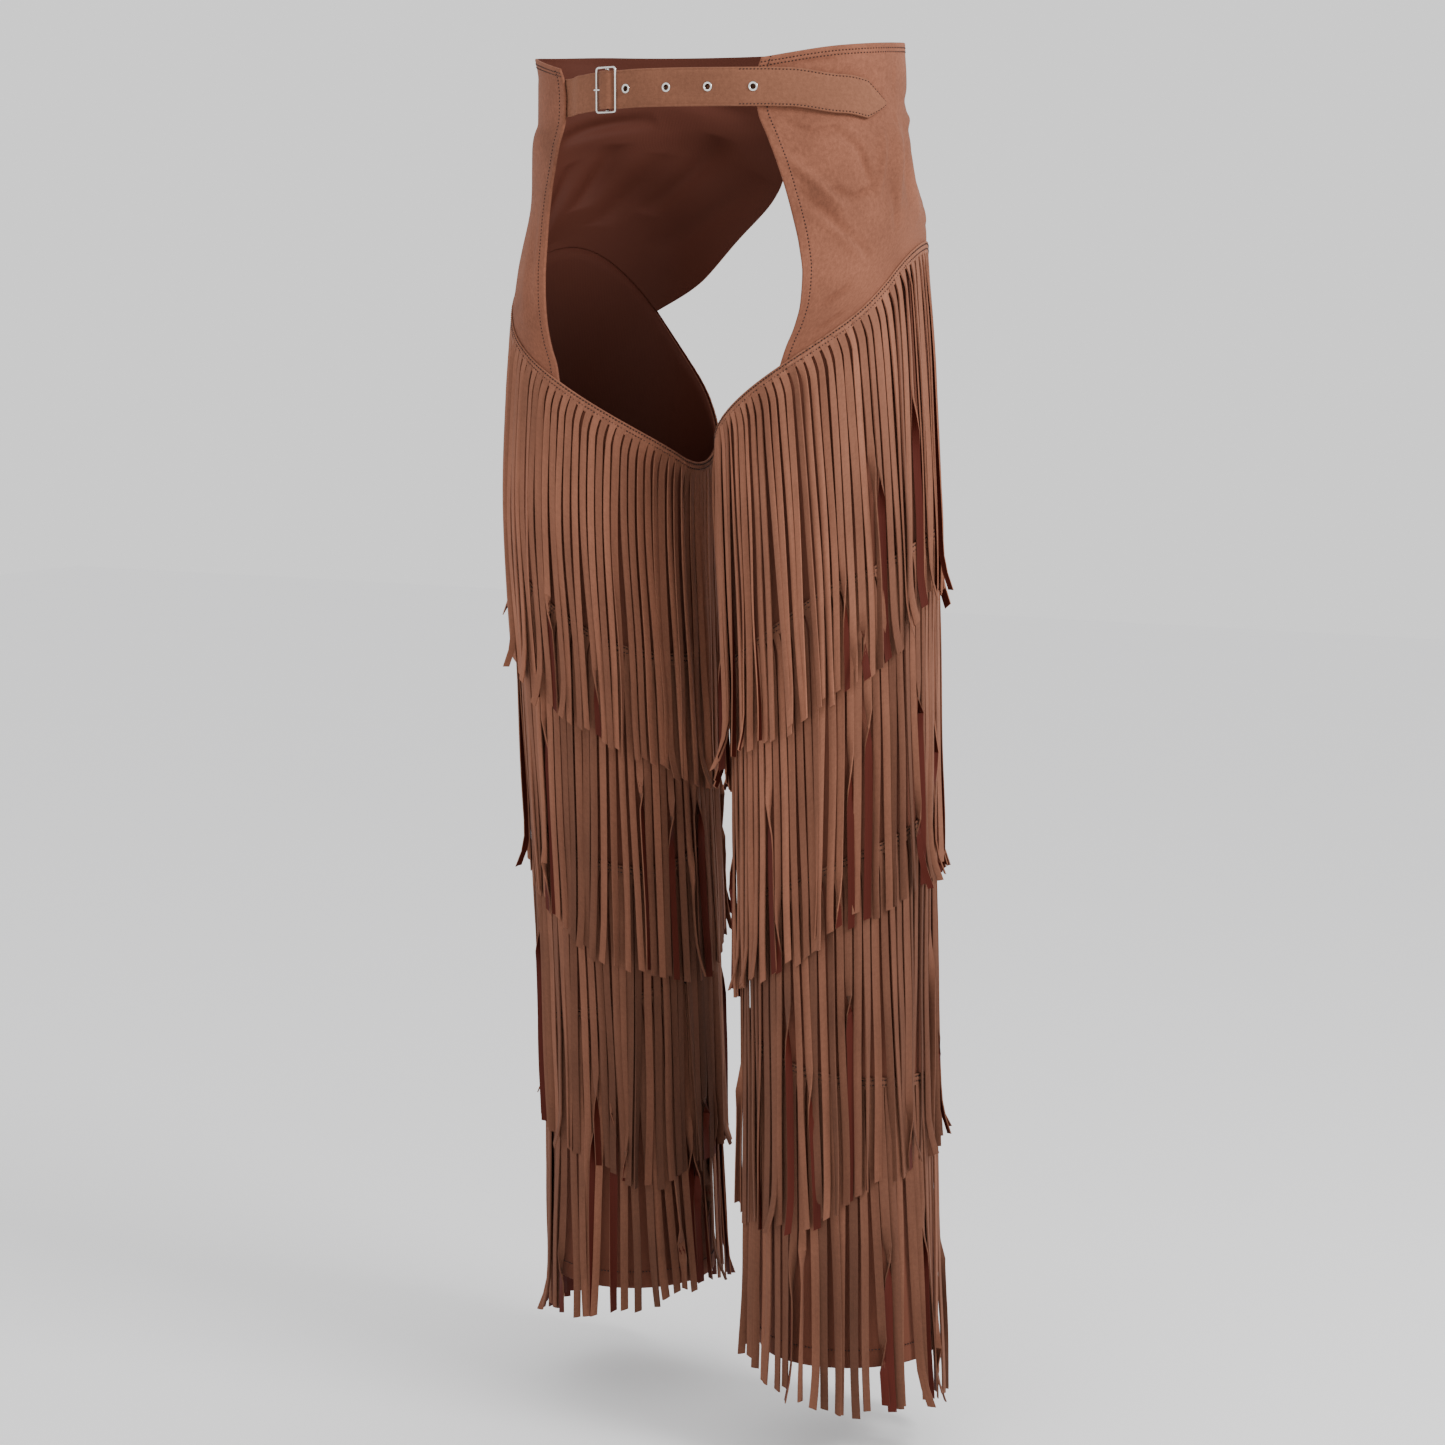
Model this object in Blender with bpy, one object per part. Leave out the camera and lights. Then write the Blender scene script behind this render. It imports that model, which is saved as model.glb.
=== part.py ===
"""Fringed chaps, worn: two hip panels, two legs with four lengths of fringe each, and a buckled strap.

Metres. +Z is up, the front faces -Y, and the wearer's left is +X. The origin is the middle of
the waist opening, at half the strap's height. A side is +1 for the wearer's left, -1 for the right.
Round the waist an angle of 0 is the middle of the front and 180 the middle of the back.
Round a leg 0 is its front, 90 its outer side and -90 its inner side.
"""

import math
import random

import bpy
import numpy as np

SIDES = {"left": 1, "right": -1}

# Cloth and the gaps between pieces
WALL = 0.0015
SEAM_GAP = 0.0003
CENTRE_BACK_ANGLE = 179.94

# Figure: height, half width and half depth of the waist and hips
TORSO = np.array([
    (0.050, 0.1450, 0.0955),
    (0.018, 0.1473, 0.0969),
    (0.000, 0.1475, 0.0970),
    (-0.016, 0.1477, 0.0972),
    (-0.035, 0.1505, 0.1005),
    (-0.080, 0.1535, 0.1055),
    (-0.110, 0.1560, 0.1095),
    (-0.130, 0.1580, 0.1115),
    (-0.200, 0.1610, 0.1135),
])

# Legs: height, then the left leg's middle (x, y), half width and half depth, then the right leg's
LEGS = np.array([
    (0.000, 0.0810, 0.0000, 0.0765, 0.0980, -0.0825, -0.0030, 0.0760, 0.0980),
    (-0.110, 0.0820, 0.0020, 0.0765, 0.0960, -0.0830, -0.0040, 0.0755, 0.0960),
    (-0.200, 0.0860, 0.0050, 0.0770, 0.0910, -0.0865, -0.0050, 0.0755, 0.0910),
    (-0.296, 0.0905, 0.0065, 0.0775, 0.0850, -0.0940, -0.0045, 0.0750, 0.0840),
    (-0.445, 0.0985, 0.0040, 0.0725, 0.0765, -0.0990, 0.0120, 0.0715, 0.0755),
    (-0.675, 0.1060, 0.0020, 0.0685, 0.0700, -0.1050, 0.0350, 0.0665, 0.0680),
    (-0.870, 0.1120, 0.0020, 0.0670, 0.0670, -0.1095, 0.0480, 0.0640, 0.0640),
    (-1.000, 0.1150, 0.0020, 0.0680, 0.0680, -0.1110, 0.0560, 0.0640, 0.0640),
])
HEM_HEIGHT = -0.945
# The right leg is set back, and its cloth rides up a little towards the hem
RIGHT_RISE = (0.0, 0.0, 0.003, 0.011)
LEG_ROWS = 7

# Fringe: angle round the leg, then the height of each length's top edge there
FRINGE_LINES = np.array([
    (-90, -0.278, -0.420, -0.575, -0.685),
    (-52, -0.250, -0.415, -0.590, -0.692),
    (-28, -0.231, -0.405, -0.587, -0.705),
    (8, -0.200, -0.375, -0.572, -0.716),
    (24, -0.186, -0.357, -0.560, -0.720),
    (44, -0.168, -0.345, -0.550, -0.722),
    (60, -0.152, -0.338, -0.543, -0.723),
    (74, -0.132, -0.329, -0.536, -0.724),
    (90, -0.112, -0.320, -0.529, -0.725),
    (122, -0.104, -0.315, -0.524, -0.728),
    (150, -0.135, -0.330, -0.535, -0.725),
    (180, -0.190, -0.360, -0.552, -0.716),
    (225, -0.250, -0.395, -0.567, -0.700),
    (270, -0.278, -0.420, -0.575, -0.685),
])
TIERS = 4
STRANDS_PER_TIER = 26
STRAND_SHARE = 0.72
STRAND_LENGTH = 0.245
STRAND_LENGTH_SPREAD = 0.012
STRAND_STEPS = 3
HEADING_HEIGHT = 0.0085
HEADING_THICKNESS = 0.0012
HEADING_COVER = 0.002
TIP_FLARE = 0.0080
TIP_SWAY = 0.0018
TIP_TAPER = 0.80

# Hip panel: front edge as height and angle round the waist, from the top down to the leg.
# The left one is cut back further at the thigh. The right one hangs nearly straight.
FRONT_EDGE = {
    1: np.array([
        (0.024, 33.7),
        (0.014, 32.4),
        (0.000, 31.9),
        (-0.015, 32.6),
        (-0.031, 35.2),
        (-0.050, 38.3),
        (-0.070, 41.1),
        (-0.090, 43.4),
        (-0.110, 45.4),
        (-0.130, 46.4),
        (-0.150, 46.0),
        (-0.168, 44.3),
        (-0.182, 41.9),
    ]),
    -1: np.array([
        (0.024, 37.6),
        (0.014, 36.0),
        (0.000, 35.0),
        (-0.015, 35.3),
        (-0.031, 36.7),
        (-0.050, 38.3),
        (-0.070, 39.7),
        (-0.090, 40.0),
        (-0.110, 39.1),
        (-0.130, 37.8),
        (-0.150, 36.6),
        (-0.168, 35.3),
        (-0.184, 33.6),
        (-0.198, 31.8),
    ]),
}
# Back edge: the seam down the centre back, then the curve of the seat cut-out
BACK_EDGE = np.array([
    (0.040, CENTRE_BACK_ANGLE),
    (-0.045, CENTRE_BACK_ANGLE),
    (-0.070, 176.5),
    (-0.100, 168.0),
    (-0.130, 157.0),
])
# Top edge: angle round the waist and height
TOP_EDGE = np.array([
    (33.0, 0.0234),
    (60.0, 0.0325),
    (90.0, 0.037),
    (124.0, 0.040),
    (180.0, 0.040),
])
PANEL_ROWS = 11
# The panel's lower edge runs between these angles round the leg. By side, where it starts
PANEL_FROM = {1: 9.0, -1: -5.0}
PANEL_TO = 163.0
# Share of the panel's height over which the leg's oval passes into the waist's
PANEL_BLEND = 0.5

# Strap at the waist
STRAP_HALF_HEIGHT = 0.0138
STRAP_THICKNESS = 0.0024
STRAP_POINT_LENGTH = 0.018
STRAP_POINT_MARGIN = 0.002
BUCKLE_ANGLE = -14.3
# Along the long strap: angle round the waist, distance out from the figure, height
STRAP_UNDER_PANEL = (
    (-60.0, -0.0020, 0.0), (-34.0, -0.0020, 0.0005), (-26.5, 0.0019, 0.0018), (-20.5, 0.0027, 0.0026),
)
# Through the buckle: distance from the buckle's middle, distance out
STRAP_THROUGH_BUCKLE = (
    (-0.0090, 0.0029), (-0.0065, 0.0042), (-0.0050, 0.0059), (-0.0030, 0.0077), (0.0, 0.0080),
    (0.0030, 0.0076), (0.0050, 0.0060), (0.0065, 0.0044), (0.0090, 0.0032),
)
STRAP_TAIL = (
    (-5.0, 0.0032, 0.0038), (34.5, 0.0032, 0.0028), (41.0, 0.0042, 0.0024),
    (60.0, 0.0042, -0.0020), (80.0, 0.0042, -0.0075),
)
STRAP_BUCKLE_HEIGHT = 0.0034
WAIST_STEP = 5.0
# The pointed end: share of its length and of the strap's width
STRAP_POINT = ((0.0, 1.0), (0.06, 0.96), (0.25, 0.80), (0.5, 0.56), (0.75, 0.32), (0.92, 0.15), (1.0, 0.05))

# Short strap that holds the buckle
BUCKLE_STRAP_HALF_HEIGHT = 0.0119
BUCKLE_STRAP_THICKNESS = 0.0012
BUCKLE_STRAP_UNDER_PANEL = ((56.0, -0.0014), (34.2, -0.0014), (26.0, 0.0009), (0.0, 0.0009))
# Up to the centre bar and back from it: distance from the buckle's middle, distance out
BUCKLE_STRAP_TO_BAR = ((0.0055, 0.0009), (0.0032, 0.0011))
BUCKLE_STRAP_FROM_BAR = ((0.0032, 0.0031), (0.0052, 0.0028))
BAR_WRAP = range(-75, -331, -25)

# Buckle
BAR_OUT = 0.0060
BAR_RADIUS = 0.0009
FRAME_HALF_WIDTH = 0.0090
FRAME_HALF_HEIGHT = 0.0160
FRAME_CORNER = 0.0020
CENTRE_BAR_OUT = 0.0036
CENTRE_BAR_RADIUS = 0.0010
CENTRE_BAR_HALF_HEIGHT = 0.0142
PRONG_RADIUS = 0.00065
PRONG_HEIGHT = 0.0036
PRONG_WRAP = range(-160, 91, 25)
# From the bar to the prong's tip: distance from the buckle's middle, distance out
PRONG_ROWS = (
    (-0.0020, 0.0055), (-0.0040, 0.0055), (-0.0056, 0.0065), (-0.0074, 0.0079),
    (-0.0090, 0.0079), (-0.0100, 0.0078), (-0.0107, 0.0076),
)
# The strap's hole for the prong: its two ends and its radius
PRONG_HOLE_ENDS = ((-0.0028, 0.0042), (-0.0076, 0.0078))
PRONG_HOLE_RADIUS = 0.0013
# The buckle strap's slot for the prong: distances from the buckle's middle and out
PRONG_SLOT_ALONG = (-0.005, 0.0031)
PRONG_SLOT_OUT = (-0.002, 0.0075)
PRONG_SLOT_HALF_HEIGHT = 0.0011

# Eyelets
EYELET_ANGLES = (-7.7, 5.5, 18.0, 31.4)
EYELET_HOLE_RADIUS = 0.0027
EYELET_CUTTER_REACH = 0.004
# Turned outline of an eyelet: radius and distance out
EYELET_OUTLINE = (
    (0.0016, 0.00195), (0.0024, 0.00195), (0.0024, 0.0047), (0.0034, 0.0047),
    (0.0032, 0.0052), (0.0018, 0.0053), (0.0016, 0.0049),
)

MATERIALS = {
    "hip_suede": ((0.188, 0.070, 0.041), 0.85, 0.0),
    "leg_suede": ((0.127, 0.042, 0.025), 0.88, 0.0),
    "fringe_suede": ((0.195, 0.072, 0.045), 0.86, 0.0),
    "strap_suede": ((0.188, 0.076, 0.044), 0.80, 0.0),
    "nickel": ((0.720, 0.720, 0.700), 0.25, 1.0),
}


def clear_scene():
    for thing in list(bpy.data.objects):
        bpy.data.objects.remove(thing)


def smooth_row(table, at):
    """The columns of a table at this value of its first one, by a curve that keeps between its rows."""
    keys = table[:, 0]
    if keys[0] > keys[-1]:
        table = table[::-1]
        keys = table[:, 0]
    at = min(max(at, keys[0]), keys[-1])
    low = min(max(int(np.searchsorted(keys, at)) - 1, 0), len(keys) - 2)
    slopes = np.diff(table[:, 1:], axis=0) / np.diff(keys)[:, None]

    def tangent(index):
        if index == 0 or index == len(keys) - 1:
            return slopes[min(index, len(slopes) - 1)]
        before, after = slopes[index - 1], slopes[index]
        return np.where(before * after > 0, 2 * before * after / (before + after + 1e-12), 0.0)

    width = keys[low + 1] - keys[low]
    t = (at - keys[low]) / width
    return (
        (2 * t**3 - 3 * t**2 + 1) * table[low, 1:]
        + (t**3 - 2 * t**2 + t) * width * tangent(low)
        + (-2 * t**3 + 3 * t**2) * table[low + 1, 1:]
        + (t**3 - t**2) * width * tangent(low + 1)
    )


def torso_point(side, angle, height, out):
    half_width, half_depth = smooth_row(TORSO, height)
    turn = math.radians(angle)
    return np.array([
        side * (half_width + out) * math.sin(turn),
        -(half_depth + out) * math.cos(turn),
        height,
    ])


def leg_point(side, angle, height, out):
    row = smooth_row(LEGS, height)
    x, y, half_width, half_depth = row[:4] if side > 0 else row[4:]
    turn = math.radians(angle)
    return np.array([
        x + side * (half_width + out) * math.sin(turn),
        y - (half_depth + out) * math.cos(turn),
        height,
    ])


def leg_angle_of(side, point):
    row = smooth_row(LEGS, point[2])
    x, y, half_width, half_depth = row[:4] if side > 0 else row[4:]
    return math.degrees(math.atan2(side * (point[0] - x) / half_width, -(point[1] - y) / half_depth))


def line_height(side, tier, angle):
    """Height of a fringe's top edge at this angle, rounded off between the table's rows."""
    near = [(angle + step + 90) % 360 - 90 for step in (-12, -6, 0, 6, 12)]
    rise = RIGHT_RISE[tier] if side < 0 else 0.0
    return float(np.mean(np.interp(near, FRINGE_LINES[:, 0], FRINGE_LINES[:, 1 + tier]))) + rise


def leg_rows(side, angle):
    """Heights of the leg's rows of points at this angle, from the top edge to the hem."""
    top = line_height(side, 0, angle)
    hem = HEM_HEIGHT + (RIGHT_RISE[-1] if side < 0 else 0.0)
    return [top + (hem - top) * row / LEG_ROWS for row in range(LEG_ROWS + 1)]


def on_leg(side, angle, height, out):
    """A point this far out from the leg's flat faces, which run straight from row to row."""
    heights = leg_rows(side, angle)
    share = (heights[0] - height) / (heights[0] - heights[1])
    row = min(max(int(share), 0), LEG_ROWS - 1)
    first = leg_point(side, angle, heights[row], out)
    second = leg_point(side, angle, heights[row + 1], out)
    return first + (second - first) * (share - row)


def leg_angles():
    """Angles round a leg, in pairs: each strand's two edges."""
    period = 360.0 / STRANDS_PER_TIER
    edges = []
    for strand in range(STRANDS_PER_TIER):
        start = -180.0 + strand * period
        edges += [start, start + STRAND_SHARE * period]
    return edges


def make_object(name, points, faces, material, smooth=True):
    mesh = bpy.data.meshes.new(name)
    mesh.from_pydata([tuple(point) for point in points], [], faces)
    mesh.validate()
    mesh.update()
    mesh.polygons.foreach_set("use_smooth", [smooth] * len(mesh.polygons))
    mesh.materials.append(material_of(name, material))
    thing = bpy.data.objects.new(name, mesh)
    bpy.context.scene.collection.objects.link(thing)
    return thing


def material_of(name, kind):
    colour, roughness, metallic = MATERIALS[kind]
    material = bpy.data.materials.new(name + "_" + kind)
    material.use_nodes = True
    shader = material.node_tree.nodes["Principled BSDF"]
    shader.inputs["Base Color"].default_value = (*colour, 1.0)
    shader.inputs["Roughness"].default_value = roughness
    shader.inputs["Metallic"].default_value = metallic
    material.diffuse_color = (*colour, 1.0)
    return material


def face_outwards(thing):
    """Turns every face outwards."""
    mesh = thing.data
    points = np.array([vertex.co for vertex in mesh.vertices])
    volume = 0.0
    for face in mesh.polygons:
        corners = points[list(face.vertices)]
        for index in range(1, len(corners) - 1):
            volume += np.linalg.det(np.array([corners[0], corners[index], corners[index + 1]]))
    if volume < 0:
        mesh.flip_normals()
    return thing


def shell(name, inner, outer, material, closed_round):
    """A cloth piece from two grids of points, [row][column], with its rims closed."""
    rows, columns = len(inner), len(inner[0])
    points = [point for row in inner for point in row] + [point for row in outer for point in row]
    layer = rows * columns
    faces = []
    spans = columns if closed_round else columns - 1
    for row in range(rows - 1):
        for column in range(spans):
            a = row * columns + column
            b = row * columns + (column + 1) % columns
            c, d = b + columns, a + columns
            faces.append((a, b, c, d))
            faces.append((layer + d, layer + c, layer + b, layer + a))
    for column in range(spans):
        following = (column + 1) % columns
        top = (rows - 1) * columns
        faces.append((column + layer, following + layer, following, column))
        faces.append((top + column, top + following, top + following + layer, top + column + layer))
    if not closed_round:
        for row in range(rows - 1):
            a, d = row * columns, (row + 1) * columns
            faces.append((a, d, d + layer, a + layer))
            b, c = a + columns - 1, d + columns - 1
            faces.append((b + layer, c + layer, c, b))
    return face_outwards(make_object(name, points, faces, material))


def make_leg(name, side):
    angles = leg_angles()
    grids = []
    for out in (0.0, WALL):
        grid = []
        for row in range(LEG_ROWS + 1):
            grid.append([leg_point(side, angle, leg_rows(side, angle)[row], out) for angle in angles])
        grids.append(grid)
    return shell("leg_" + name, grids[0], grids[1], "leg_suede", True)


def edge_angle(table, height):
    return float(smooth_row(table, height)[0])


def waist_angle_of(side, point):
    half_width, half_depth = smooth_row(TORSO, point[2])
    return math.degrees(math.atan2(side * point[0] / half_width, -point[1] / half_depth))


def make_hip_panel(name, side):
    """Its lower edge follows the leg's top edge, and its other edges follow the tables."""
    angles = [angle for angle in leg_angles() if PANEL_FROM[side] <= angle <= PANEL_TO]
    front_edge = FRONT_EDGE[side]
    low_heights = [line_height(side, 0, angle) + SEAM_GAP for angle in angles]
    low_turns = [
        waist_angle_of(side, leg_point(side, angle, height, 0.0))
        for angle, height in zip(angles, low_heights)
    ]
    columns = len(angles)
    shares = [column / (columns - 1) for column in range(columns)]
    top_turns = [front_edge[0, 1] + (CENTRE_BACK_ANGLE - front_edge[0, 1]) * share for share in shares]
    top_heights = [float(smooth_row(TOP_EDGE, turn)[0]) for turn in top_turns]
    front = np.vstack([front_edge, (low_heights[0], low_turns[0])])
    back = np.vstack([BACK_EDGE, (low_heights[-1], low_turns[-1])])

    def turn_and_height(column, rise):
        """A patch between the four edges, as angle round the waist and height."""
        share = shares[column]
        front_height = low_heights[0] + (top_heights[0] - low_heights[0]) * rise
        back_height = low_heights[-1] + (top_heights[-1] - low_heights[-1]) * rise
        front_turn = edge_angle(front, front_height)
        back_turn = edge_angle(back, back_height)
        turn = (1 - rise) * low_turns[column] + rise * top_turns[column]
        turn += (1 - share) * (front_turn - (1 - rise) * low_turns[0] - rise * top_turns[0])
        turn += share * (back_turn - (1 - rise) * low_turns[-1] - rise * top_turns[-1])
        height = (1 - rise) * low_heights[column] + rise * top_heights[column]
        return turn, height

    grids = []
    for out in (0.0, WALL):
        grid = []
        for row in range(PANEL_ROWS + 1):
            rise = row / PANEL_ROWS
            blend = min(rise / PANEL_BLEND, 1.0)
            blend = blend * blend * (3 - 2 * blend)
            line = []
            for column, angle in enumerate(angles):
                turn, height = turn_and_height(column, rise)
                high = torso_point(side, turn, height, out)
                start = torso_point(side, low_turns[column], low_heights[column], 0.0)
                shift = (angle - leg_angle_of(side, start)) * (1 - rise)
                on_hip = torso_point(side, turn, height, 0.0)
                low = leg_point(side, leg_angle_of(side, on_hip) + shift, height, out)
                line.append((1 - blend) * low + blend * high)
            grid.append(line)
        grids.append(grid)
    return shell("hip_panel_" + name, grids[0], grids[1], "hip_suede", False)


def make_fringe(name, side, tier):
    """A heading strip round the leg whose lower edge is drawn down into strands."""
    chance = random.Random(100 * tier + (7 if side > 0 else 31))
    angles = leg_angles()
    count = len(angles)
    near_out = WALL + SEAM_GAP
    far_out = near_out + HEADING_THICKNESS
    raised = HEADING_COVER if tier == 0 else 0.0
    points = []
    for drop, out in ((0, near_out), (0, far_out), (HEADING_HEIGHT, far_out), (HEADING_HEIGHT, near_out)):
        for angle in angles:
            points.append(on_leg(side, angle, line_height(side, tier, angle) + raised - drop, out))
    faces = []
    for column in range(count):
        following = (column + 1) % count
        is_strand = column % 2 == 0
        for ring in range(4):
            if ring == 2 and is_strand:
                continue
            nextring = (ring + 1) % 4
            faces.append((
                ring * count + column, ring * count + following,
                nextring * count + following, nextring * count + column,
            ))
        if not is_strand:
            continue
        length = STRAND_LENGTH + chance.uniform(-1, 1) * STRAND_LENGTH_SPREAD
        sway = chance.uniform(-1, 1) * TIP_SWAY
        last = [2 * count + column, 2 * count + following, 3 * count + following, 3 * count + column]
        for step in range(1, STRAND_STEPS + 1):
            share = step / STRAND_STEPS
            middle = 0.5 * (angles[column] + angles[column] + STRAND_SHARE * 360.0 / STRANDS_PER_TIER)
            half = 0.5 * STRAND_SHARE * 360.0 / STRANDS_PER_TIER * (1 - (1 - TIP_TAPER) * share)
            flare = TIP_FLARE * share**0.8
            new = []
            for turn, layer in ((-half, far_out), (half, far_out), (half, near_out), (-half, near_out)):
                angle = middle + turn
                height = line_height(side, tier, angle) + raised - HEADING_HEIGHT - length * share
                point = on_leg(side, angle, height, layer + flare)
                around = math.radians(middle)
                point += np.array([side * math.cos(around), math.sin(around), 0.0]) * sway * share**2
                new.append(len(points))
                points.append(point)
            for edge in range(4):
                following_edge = (edge + 1) % 4
                faces.append((last[edge], last[following_edge], new[following_edge], new[edge]))
            last = new
        faces.append(tuple(last))
    thing = make_object(f"fringe_{tier + 1}_{name}", points, faces, "fringe_suede", smooth=False)
    return face_outwards(thing)


def along(rows, steps):
    """Points on a smooth curve through the rows."""
    rows = np.array(rows, float)
    ends = np.vstack([2 * rows[0] - rows[1], rows, 2 * rows[-1] - rows[-2]])
    found = []
    for index in range(1, len(ends) - 2):
        before, first, second, after = ends[index - 1 : index + 3]
        for step in range(steps):
            t = step / steps
            found.append(0.5 * (
                2 * first + (second - before) * t
                + (2 * before - 5 * first + 4 * second - after) * t**2
                + (3 * first - before - 3 * second + after) * t**3
            ))
    found.append(rows[-1])
    return found


def buckle_axes():
    """The buckle's middle on the figure, the way along the strap and the way out."""
    middle = torso_point(1, BUCKLE_ANGLE, 0.0, 0.0)
    step = torso_point(1, BUCKLE_ANGLE + 0.5, 0.0, 0.0) - torso_point(1, BUCKLE_ANGLE - 0.5, 0.0, 0.0)
    way = step / np.linalg.norm(step)
    return middle, way, np.array([way[1], -way[0], 0.0])


def at_buckle(along_strap, out, height):
    middle, way, outwards = buckle_axes()
    return middle + way * along_strap + outwards * out + np.array([0.0, 0.0, height])


def on_waist(rows):
    """Rows of (angle, distance out, height) as close points (x, y, height) along the figure."""
    found = []
    for first, second in zip(rows, rows[1:] + rows[-1:]):
        steps = max(1, math.ceil(abs(second[0] - first[0]) / WAIST_STEP))
        for step in range(steps):
            share = step / steps
            share_out = share * share * (3 - 2 * share)
            turn = first[0] + (second[0] - first[0]) * share
            out = first[1] + (second[1] - first[1]) * share_out
            height = first[2] + (second[2] - first[2]) * share_out
            found.append((*torso_point(1, turn, 0.0, out)[:2], height))
    return found


def ribbon(name, path, thickness, half_heights, material):
    """A strap along a path of (x, y, height), its width upright and following the figure's slope."""
    points = []
    for index, (x, y, height) in enumerate(path):
        before = np.array(path[max(index - 1, 0)][:2])
        after = np.array(path[min(index + 1, len(path) - 1)][:2])
        way = (after - before) / np.linalg.norm(after - before)
        outwards = np.array([way[1], -way[0], 0.0])
        turn = waist_angle_of(1, (x, y, 0.0))
        half = half_heights[index]
        for layer, level in ((-1, -1), (-1, 0), (-1, 1), (1, 1), (1, 0), (1, -1)):
            z = height + level * half
            slope = torso_point(1, turn, z, 0.0) - torso_point(1, turn, 0.0, 0.0)
            points.append(np.array([x, y, 0.0]) + slope + outwards * layer * thickness / 2)
    corners = 6
    faces = []
    for index in range(len(path) - 1):
        for corner in range(corners):
            following = (corner + 1) % corners
            a = index * corners + corner
            b = index * corners + following
            faces.append((a, b, b + corners, a + corners))
    last = (len(path) - 1) * corners
    faces += [(5, 4, 1, 0), (4, 3, 2, 1)]
    faces += [(last, last + 1, last + 4, last + 5), (last + 1, last + 2, last + 3, last + 4)]
    return face_outwards(make_object(name, points, faces, material, smooth=False))


def tube(name, path, radius, sides, material, closed=False):
    """A round bar along a path of points."""
    path = [np.array(point, float) for point in path]
    count = len(path)
    points = []
    up = None
    for index, point in enumerate(path):
        before = path[index - 1] if closed or index else point
        after = path[(index + 1) % count] if closed or index < count - 1 else point
        way = after - before
        way = way / np.linalg.norm(way)
        if up is None:
            up = np.array([0.0, 0.0, 1.0]) if abs(way[2]) < 0.8 else buckle_axes()[2]
        across = np.cross(way, up)
        across = across / np.linalg.norm(across)
        up = np.cross(across, way)
        for side in range(sides):
            turn = 2 * math.pi * (side + 0.5) / sides
            points.append(point + radius * (math.cos(turn) * across + math.sin(turn) * up))
    faces = []
    for index in range(count if closed else count - 1):
        following = (index + 1) % count
        for side in range(sides):
            next_side = (side + 1) % sides
            faces.append((
                index * sides + side, index * sides + next_side,
                following * sides + next_side, following * sides + side,
            ))
    if not closed:
        faces.append(tuple(range(sides))[::-1])
        faces.append(tuple(range((count - 1) * sides, count * sides)))
    return face_outwards(make_object(name, points, faces, material))


def use_boolean(thing, other, operation):
    change = thing.modifiers.new(operation.lower(), "BOOLEAN")
    change.operation = operation
    change.solver = "EXACT"
    change.object = other
    other.hide_render = True
    other.display_type = "WIRE"


def strap_path():
    """The long strap's middle line: inside the right panel, through the buckle, then the tail."""
    through = along([
        (*at_buckle(distance, out, 0.0)[:2], STRAP_BUCKLE_HEIGHT)
        for distance, out in STRAP_THROUGH_BUCKLE
    ], 2)
    rows = on_waist(STRAP_UNDER_PANEL) + [tuple(row) for row in through] + on_waist(STRAP_TAIL)
    return np.array(rows)


def make_strap():
    path = strap_path()
    steps = np.linalg.norm(np.diff(path[:, :2], axis=0), axis=1)
    lengths = np.concatenate([[0.0], np.cumsum(steps)])
    end = lengths[-1]
    kept = lengths < end - STRAP_POINT_LENGTH - STRAP_POINT_MARGIN
    rows = [tuple(row) for row in path[kept]]
    halves = [STRAP_HALF_HEIGHT] * len(rows)
    for share, width in STRAP_POINT:
        distance = end - STRAP_POINT_LENGTH * (1 - share)
        rows.append(tuple(np.interp(distance, lengths, path[:, column]) for column in range(3)))
        halves.append(STRAP_HALF_HEIGHT * width)
    strap = ribbon("belt_strap", rows, STRAP_THICKNESS, halves, "strap_suede")
    for index, turn in enumerate(EYELET_ANGLES):
        origin, outwards = strap_spot(turn)
        cutter = tube(
            f"eyelet_cutter_{index + 1}",
            [origin - outwards * EYELET_CUTTER_REACH, origin + outwards * EYELET_CUTTER_REACH],
            EYELET_HOLE_RADIUS, 16, "nickel",
        )
        use_boolean(strap, cutter, "DIFFERENCE")
    ends = [at_buckle(distance, out, PRONG_HEIGHT) for distance, out in PRONG_HOLE_ENDS]
    cutter = tube("prong_cutter", ends, PRONG_HOLE_RADIUS, 12, "nickel")
    use_boolean(strap, cutter, "DIFFERENCE")
    return strap


def strap_spot(turn):
    """The middle of the strap's tail at this angle, and the way out there."""
    height = float(np.interp(turn, [row[0] for row in STRAP_TAIL], [row[2] for row in STRAP_TAIL]))
    origin = torso_point(1, turn, height, STRAP_TAIL[0][1])
    step = torso_point(1, turn + 0.5, height, 0.0) - torso_point(1, turn - 0.5, height, 0.0)
    way = step / np.linalg.norm(step)
    return origin, np.array([way[1], -way[0], 0.0])


def make_eyelet(index, turn):
    origin, outwards = strap_spot(turn)
    across = np.cross(outwards, np.array([0.0, 0.0, 1.0]))
    up = np.array([0.0, 0.0, 1.0])
    base = origin - outwards * STRAP_TAIL[0][1]
    segments = 16
    points = []
    for segment in range(segments):
        angle = 2 * math.pi * segment / segments
        for radius, out in EYELET_OUTLINE:
            points.append(base + outwards * out + radius * (math.cos(angle) * across + math.sin(angle) * up))
    corners = len(EYELET_OUTLINE)
    faces = []
    for segment in range(segments):
        following = (segment + 1) % segments
        for corner in range(corners):
            next_corner = (corner + 1) % corners
            faces.append((
                segment * corners + corner, segment * corners + next_corner,
                following * corners + next_corner, following * corners + corner,
            ))
    return face_outwards(make_object(f"eyelet_{index + 1}", points, faces, "nickel"))


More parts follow.
